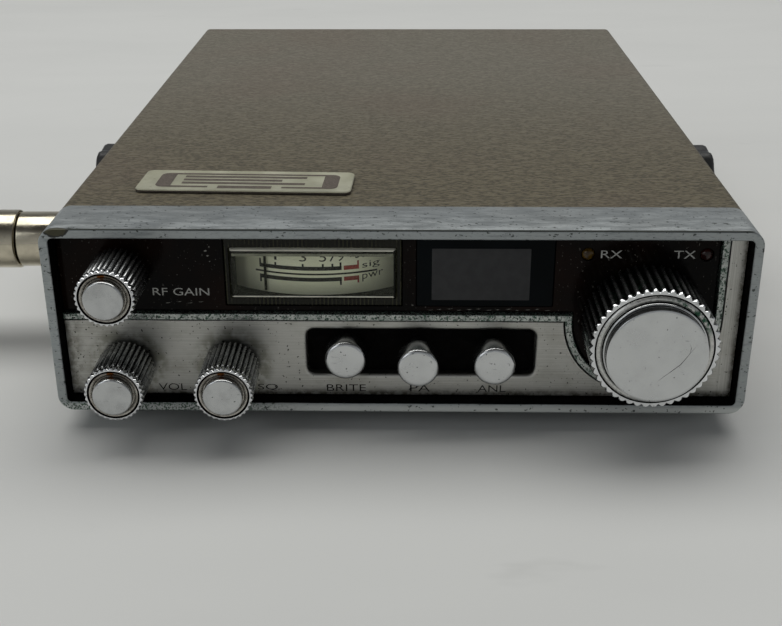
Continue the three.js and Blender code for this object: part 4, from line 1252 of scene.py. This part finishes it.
def make_mic_plug():
    """Nickel plug: a coupling ring with a seam behind it, and the shell that tapers to the cord."""
    low, high = extent("mic_plug_ring")
    axis = middle("mic_plug_ring")
    r = (high.z - low.z) / 2
    ring = [
        (6.3, high.x), (r - 0.3, high.x), (r, high.x - 0.3), (r, low.x + 0.35), (r - 0.35, low.x),
        (6.0, low.x), (6.0, low.x + 4), (6.3, low.x + 4.2), (6.3, high.x),
    ]
    collar = Shape().turned("x", axis, eased(ring, 0.12), 72, start=False, end=False)
    piece("mic_coupling_ring", collar, [NICKEL], "mic_plug_ring", 40, "mic_ring")

    front = low.x - GAP
    low, high = extent("mic_plug_shell")
    r = (high.z - low.z) / 2
    tail, inner_end = low.x, -93.5
    bore_end = tail + 13.9
    shell = [
        (4.6, high.x), (4.6, inner_end), (5.7, inner_end), (5.7, front), (r - 0.35, front),
        (r, front - 0.35), (r, tail + 10), (r - 0.5, tail + 9), (6.2, tail + 4.5), (5.6, tail + 3),
        (5.2, tail + 0.4), (4.9, tail), (3.5, tail), (3.3, tail + 0.3), (3.3, bore_end), (0.5, bore_end),
    ]
    barrel = Shape().turned("x", axis, eased(shell, 0.3), 72)
    piece("mic_plug_barrel", barrel, [NICKEL], "mic_plug_shell", 40, "mic_plug")
    soften("mic_socket", 0.15, NICKEL)


# ---------------------------------------------------------------- rear, underside and badge


def make_rear():
    """Antenna socket with a real thread, and softened copies of the plainer rear parts."""
    low, high = extent("antenna_socket")
    centre = middle("antenna_socket")
    plate_back = extent("rear_panel")[1].y + GAP
    thread_start, pitch = plate_back + 2.2, 1.05
    profile = [(2.0, low.y), (2.0, plate_back - 2.5), (6.0, plate_back - 2.3), (6.0, plate_back + 1.0)]
    profile += [(7.6, plate_back + 1.1), (7.6, thread_start)]
    for i in range(int((high.y - 0.6 - thread_start) / pitch)):
        y = thread_start + i * pitch
        profile += [(7.25, y), (7.88, y + pitch * 0.4), (7.88, y + pitch * 0.6)]
    profile += [(7.3, high.y - 0.3), (6.9, high.y), (6.2, high.y), (5.9, high.y - 0.4), (5.9, high.y - 3)]
    profile += [(1.9, high.y - 3.1), (1.8, plate_back + 4), (0.4, plate_back + 4)]
    square = inset((centre.x, centre.x, centre.z, centre.z), -12.7)
    flange = plate_mesh("antenna_flange", [rectangle(*square, 2)], plate_back, plate_back + 1.6, 0.2)
    piece("antenna_flange", flange, [NICKEL])
    thread = Shape().turned("y", centre, profile, 64)
    piece("antenna_thread", thread, [NICKEL], "antenna_socket", 30)
    soften("power_inlet", 0.3, BLACK)
    soften("heat_sink", 0.25, ALUMINIUM)
    for jack in ("speaker_jack", "pa_jack"):
        soften(jack, 0.2, NICKEL)


def make_feet():
    for end, side in product(("front", "rear"), ("left", "right")):
        node = f"{end}_{side}_foot"
        low, high = extent(node)
        profile = [
            (6.5, high.z), (6.5, high.z - 1.0), (6.35, high.z - 1.6), (5.4, low.z + 0.25), (5.1, low.z),
            (3.2, low.z), (3.0, low.z + 0.3), (3.0, low.z + 2.1), (0.5, low.z + 2.2),
        ]
        foot = Shape().turned("z", middle(node), eased(profile, 0.3), 48)
        piece(f"{node}_pad", foot, [RUBBER], node)


BADGE_SIZE = (53.7, 16.0)
BADGE_TILT = -2  # degrees
BADGE_FRAME = 3.9  # width of the printed frame's thick ends
BADGE_RULE = 1.1  # width of its thin rules
BADGE_BAR = 1.5  # height of the bars in place of lettering


def make_badge():
    """Plain cream plate with a brown frame of thick ends and thin rules, and generic bars."""
    low, high = extent("badge")
    centre = middle("badge")
    tilt = Matrix.Rotation(math.radians(BADGE_TILT), 4, "Z")
    origin = Matrix.Translation((centre.x, centre.y, 0))
    width, height = BADGE_SIZE
    edge = (-width / 2, width / 2, -height / 2, height / 2)
    sunk = high.z - 0.07

    def lying(outline, z):
        return [origin @ tilt @ Vector((x, y, z)) for x, y in outline]

    rows = [(0, 2.0, low.z), (0, 2.0, high.z - 0.25), (0.22, 1.8, high.z)]
    rows += [(0.6, 1.6, high.z), (0.75, 1.5, sunk)]
    loops = [lying(rectangle(*inset(edge, inwards), r, 8), z) for inwards, r, z in rows]
    plate = Shape().skin(loops[:2], 1, end=False).skin(loops[1:], 0, start=False)
    piece("badge_plate", plate, [BADGE, BROWN_INK], "badge")

    x0, x1, y0, y1 = inset(edge, 2.4)
    x0, x1 = x0 + 2.1, x1 - 1.1
    inner0, inner1 = x0 + BADGE_FRAME, x1 - BADGE_FRAME
    left = arc(x0 + 2, y1 - 2, 2, 90, 180, 6) + arc(x0 + 2, y0 + 2, 2, 180, 270, 6)
    right = arc(x1 - 2, y0 + 2, 2, 270, 360, 6) + arc(x1 - 2, y1 - 2, 2, 0, 90, 6)
    outlines = [left + [(inner0, y0), (inner0, y1)], [(inner1, y1), (inner1, y0)] + right]
    bars = [(inner0, inner1, y1 - BADGE_RULE, y1)]
    bars += [(inner0, -9.0, y0, y0 + BADGE_RULE), (9.5, inner1, y0, y0 + BADGE_RULE)]
    bars.append((-6.5, 7.0, y0 - 0.5, y0 + 1.5))
    for level, end in ((2.9, 15.0), (0.4, 9.0), (-2.1, 15.0)):
        bars.append((-16.0, end, level - BADGE_BAR / 2, level + BADGE_BAR / 2))
    outlines += [[(x, y), (end, y), (end, top), (x, top)] for x, end, y, top in bars]
    printed = Shape()
    for outline in outlines:
        printed.polygon(lying(outline, sunk + SKIN))
    piece("badge_print", printed, [BROWN_INK])


def finish_inner_parts():
    """Node materials for the CAD parts that stay as they are."""
    controls = ("volume", "squelch", "rf_gain")
    kept = (
        (MATT_BLACK, ["front_carrier", "meter_case"]),
        (BLACK, ["display_module"]),
        (PLATED, ["meter_movement", "front_chassis_plate", "left_rail", "right_rail", "speaker_frame"]),
        (CAN, ["push_switch_bank", "channel_switch", *(f"{control}_control" for control in controls)]),
        (SHAFT, ["channel_shaft", *(f"{control}_shaft" for control in controls)]),
        (BOARD, ["main_board"]),
        (PAPER, ["speaker_cone"]),
        (STEEL_PAINT, ["rear_panel", "bottom_cover"]),
    )
    for finish, nodes in kept:
        for node in nodes:
            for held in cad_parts[node].material_slots:
                held.material = finish


# ---------------------------------------------------------------- studio

CAMERA_PLACE = (3.345, -374.48, 140.595)
CAMERA_PITCH = 24.195  # degrees below the horizon
CAMERA_YAW = -1.1945
CAMERA_ROLL = -0.2156
CAMERA_LENS = 55.27
FLOOR_HALF = 3500.0
# The room's light by height, from the horizon up.
ROOM = (
    (0.0, (0.42, 0.43, 0.435)), (0.12, (0.33, 0.34, 0.345)), (0.30, (0.30, 0.31, 0.32)),
    (0.55, (0.18, 0.185, 0.19)), (0.8, (0.05, 0.05, 0.05)),
)


def make_camera():
    data = bpy.data.cameras.new("camera")
    data.lens = CAMERA_LENS
    data.sensor_width = 36
    data.clip_start = 0.01
    camera = bpy.data.objects.new("camera", data)
    bpy.context.scene.collection.objects.link(camera)
    pitch, yaw, roll = (math.radians(a) for a in (CAMERA_PITCH, CAMERA_YAW, CAMERA_ROLL))
    forward = Vector((math.sin(yaw) * math.cos(pitch), math.cos(yaw) * math.cos(pitch), -math.sin(pitch)))
    level = Vector((math.cos(yaw), -math.sin(yaw), 0))
    over = level.cross(forward)
    right = math.cos(roll) * level + math.sin(roll) * over
    up = math.cos(roll) * over - math.sin(roll) * level
    turned = Matrix((right, up, -forward)).transposed().to_4x4()
    camera.matrix_world = Matrix.Translation(Vector(CAMERA_PLACE) * MM) @ turned
    bpy.context.scene.camera = camera


def make_floor():
    z = cad_bounds[0][2] / MM
    corners = [(x * FLOOR_HALF, y * FLOOR_HALF, z) for x, y in ((-1, -1), (1, -1), (1, 1), (-1, 1))]
    mesh = Shape().polygon(corners).mesh("floor")
    mesh.materials.append(floor_finish())
    floor = bpy.data.objects.new("floor", mesh)
    bpy.context.scene.collection.objects.link(floor)


def area_light(name, place, target, size, power, colour):
    """Soft box with its place, target and size in metres."""
    data = bpy.data.lights.new(name, "AREA")
    data.shape = "RECTANGLE"
    data.size, data.size_y = size
    data.energy = power
    data.color = colour
    light = bpy.data.objects.new(name, data)
    light.location = place
    light.rotation_euler = (Vector(target) - Vector(place)).to_track_quat("-Z", "Y").to_euler()
    bpy.context.scene.collection.objects.link(light)


def make_light():
    """One large soft box overhead, a weak fill from the front left, and dim walls and ceiling."""
    area_light("overhead", (-0.12, 0.33, 1.35), (-0.10, 0.20, 0.0), (2.2, 1.05), 20, (1.0, 0.995, 0.97))
    area_light("fill", (-1.3, -1.2, 0.9), (0.0, -0.1, 0.02), (0.9, 0.9), 3, (0.93, 0.97, 1.0))
    world = bpy.data.worlds.new("room")
    world.use_nodes = True
    bpy.context.scene.world = world
    tree = world.node_tree
    direction = tree.nodes.new("ShaderNodeTexCoord").outputs["Generated"]
    parts = tree.nodes.new("ShaderNodeSeparateXYZ")
    tree.links.new(direction, parts.inputs[0])
    ramp = tree.nodes.new("ShaderNodeValToRGB")
    tree.links.new(parts.outputs["Z"], ramp.inputs[0])
    stops = ramp.color_ramp.elements
    while len(stops) < len(ROOM):
        stops.new(0.5)
    for stop, (position, colour) in zip(stops, ROOM):
        stop.position = position
        stop.color = (*colour, 1)
    tree.links.new(ramp.outputs["Color"], tree.nodes["Background"].inputs["Color"])


bpy.context.scene.view_settings.view_transform = "Standard"
make_camera()
make_floor()
make_light()
make_bezel()
make_escutcheon()
make_trim()
make_window()
make_scuffs()
make_labels()
make_dial()
soften("meter_pointer", 0.08, POINTER, "pointer")
make_lens()
make_display()
make_lamps()
make_buttons()
for small_control in ("rf_gain", "volume", "squelch"):
    make_small_knob(small_control)
make_channel_knob()
make_channel_boss()
make_top_cover()
make_side_knobs()
make_mic_plug()
make_rear()
make_feet()
make_badge()
make_screws()
finish_inner_parts()
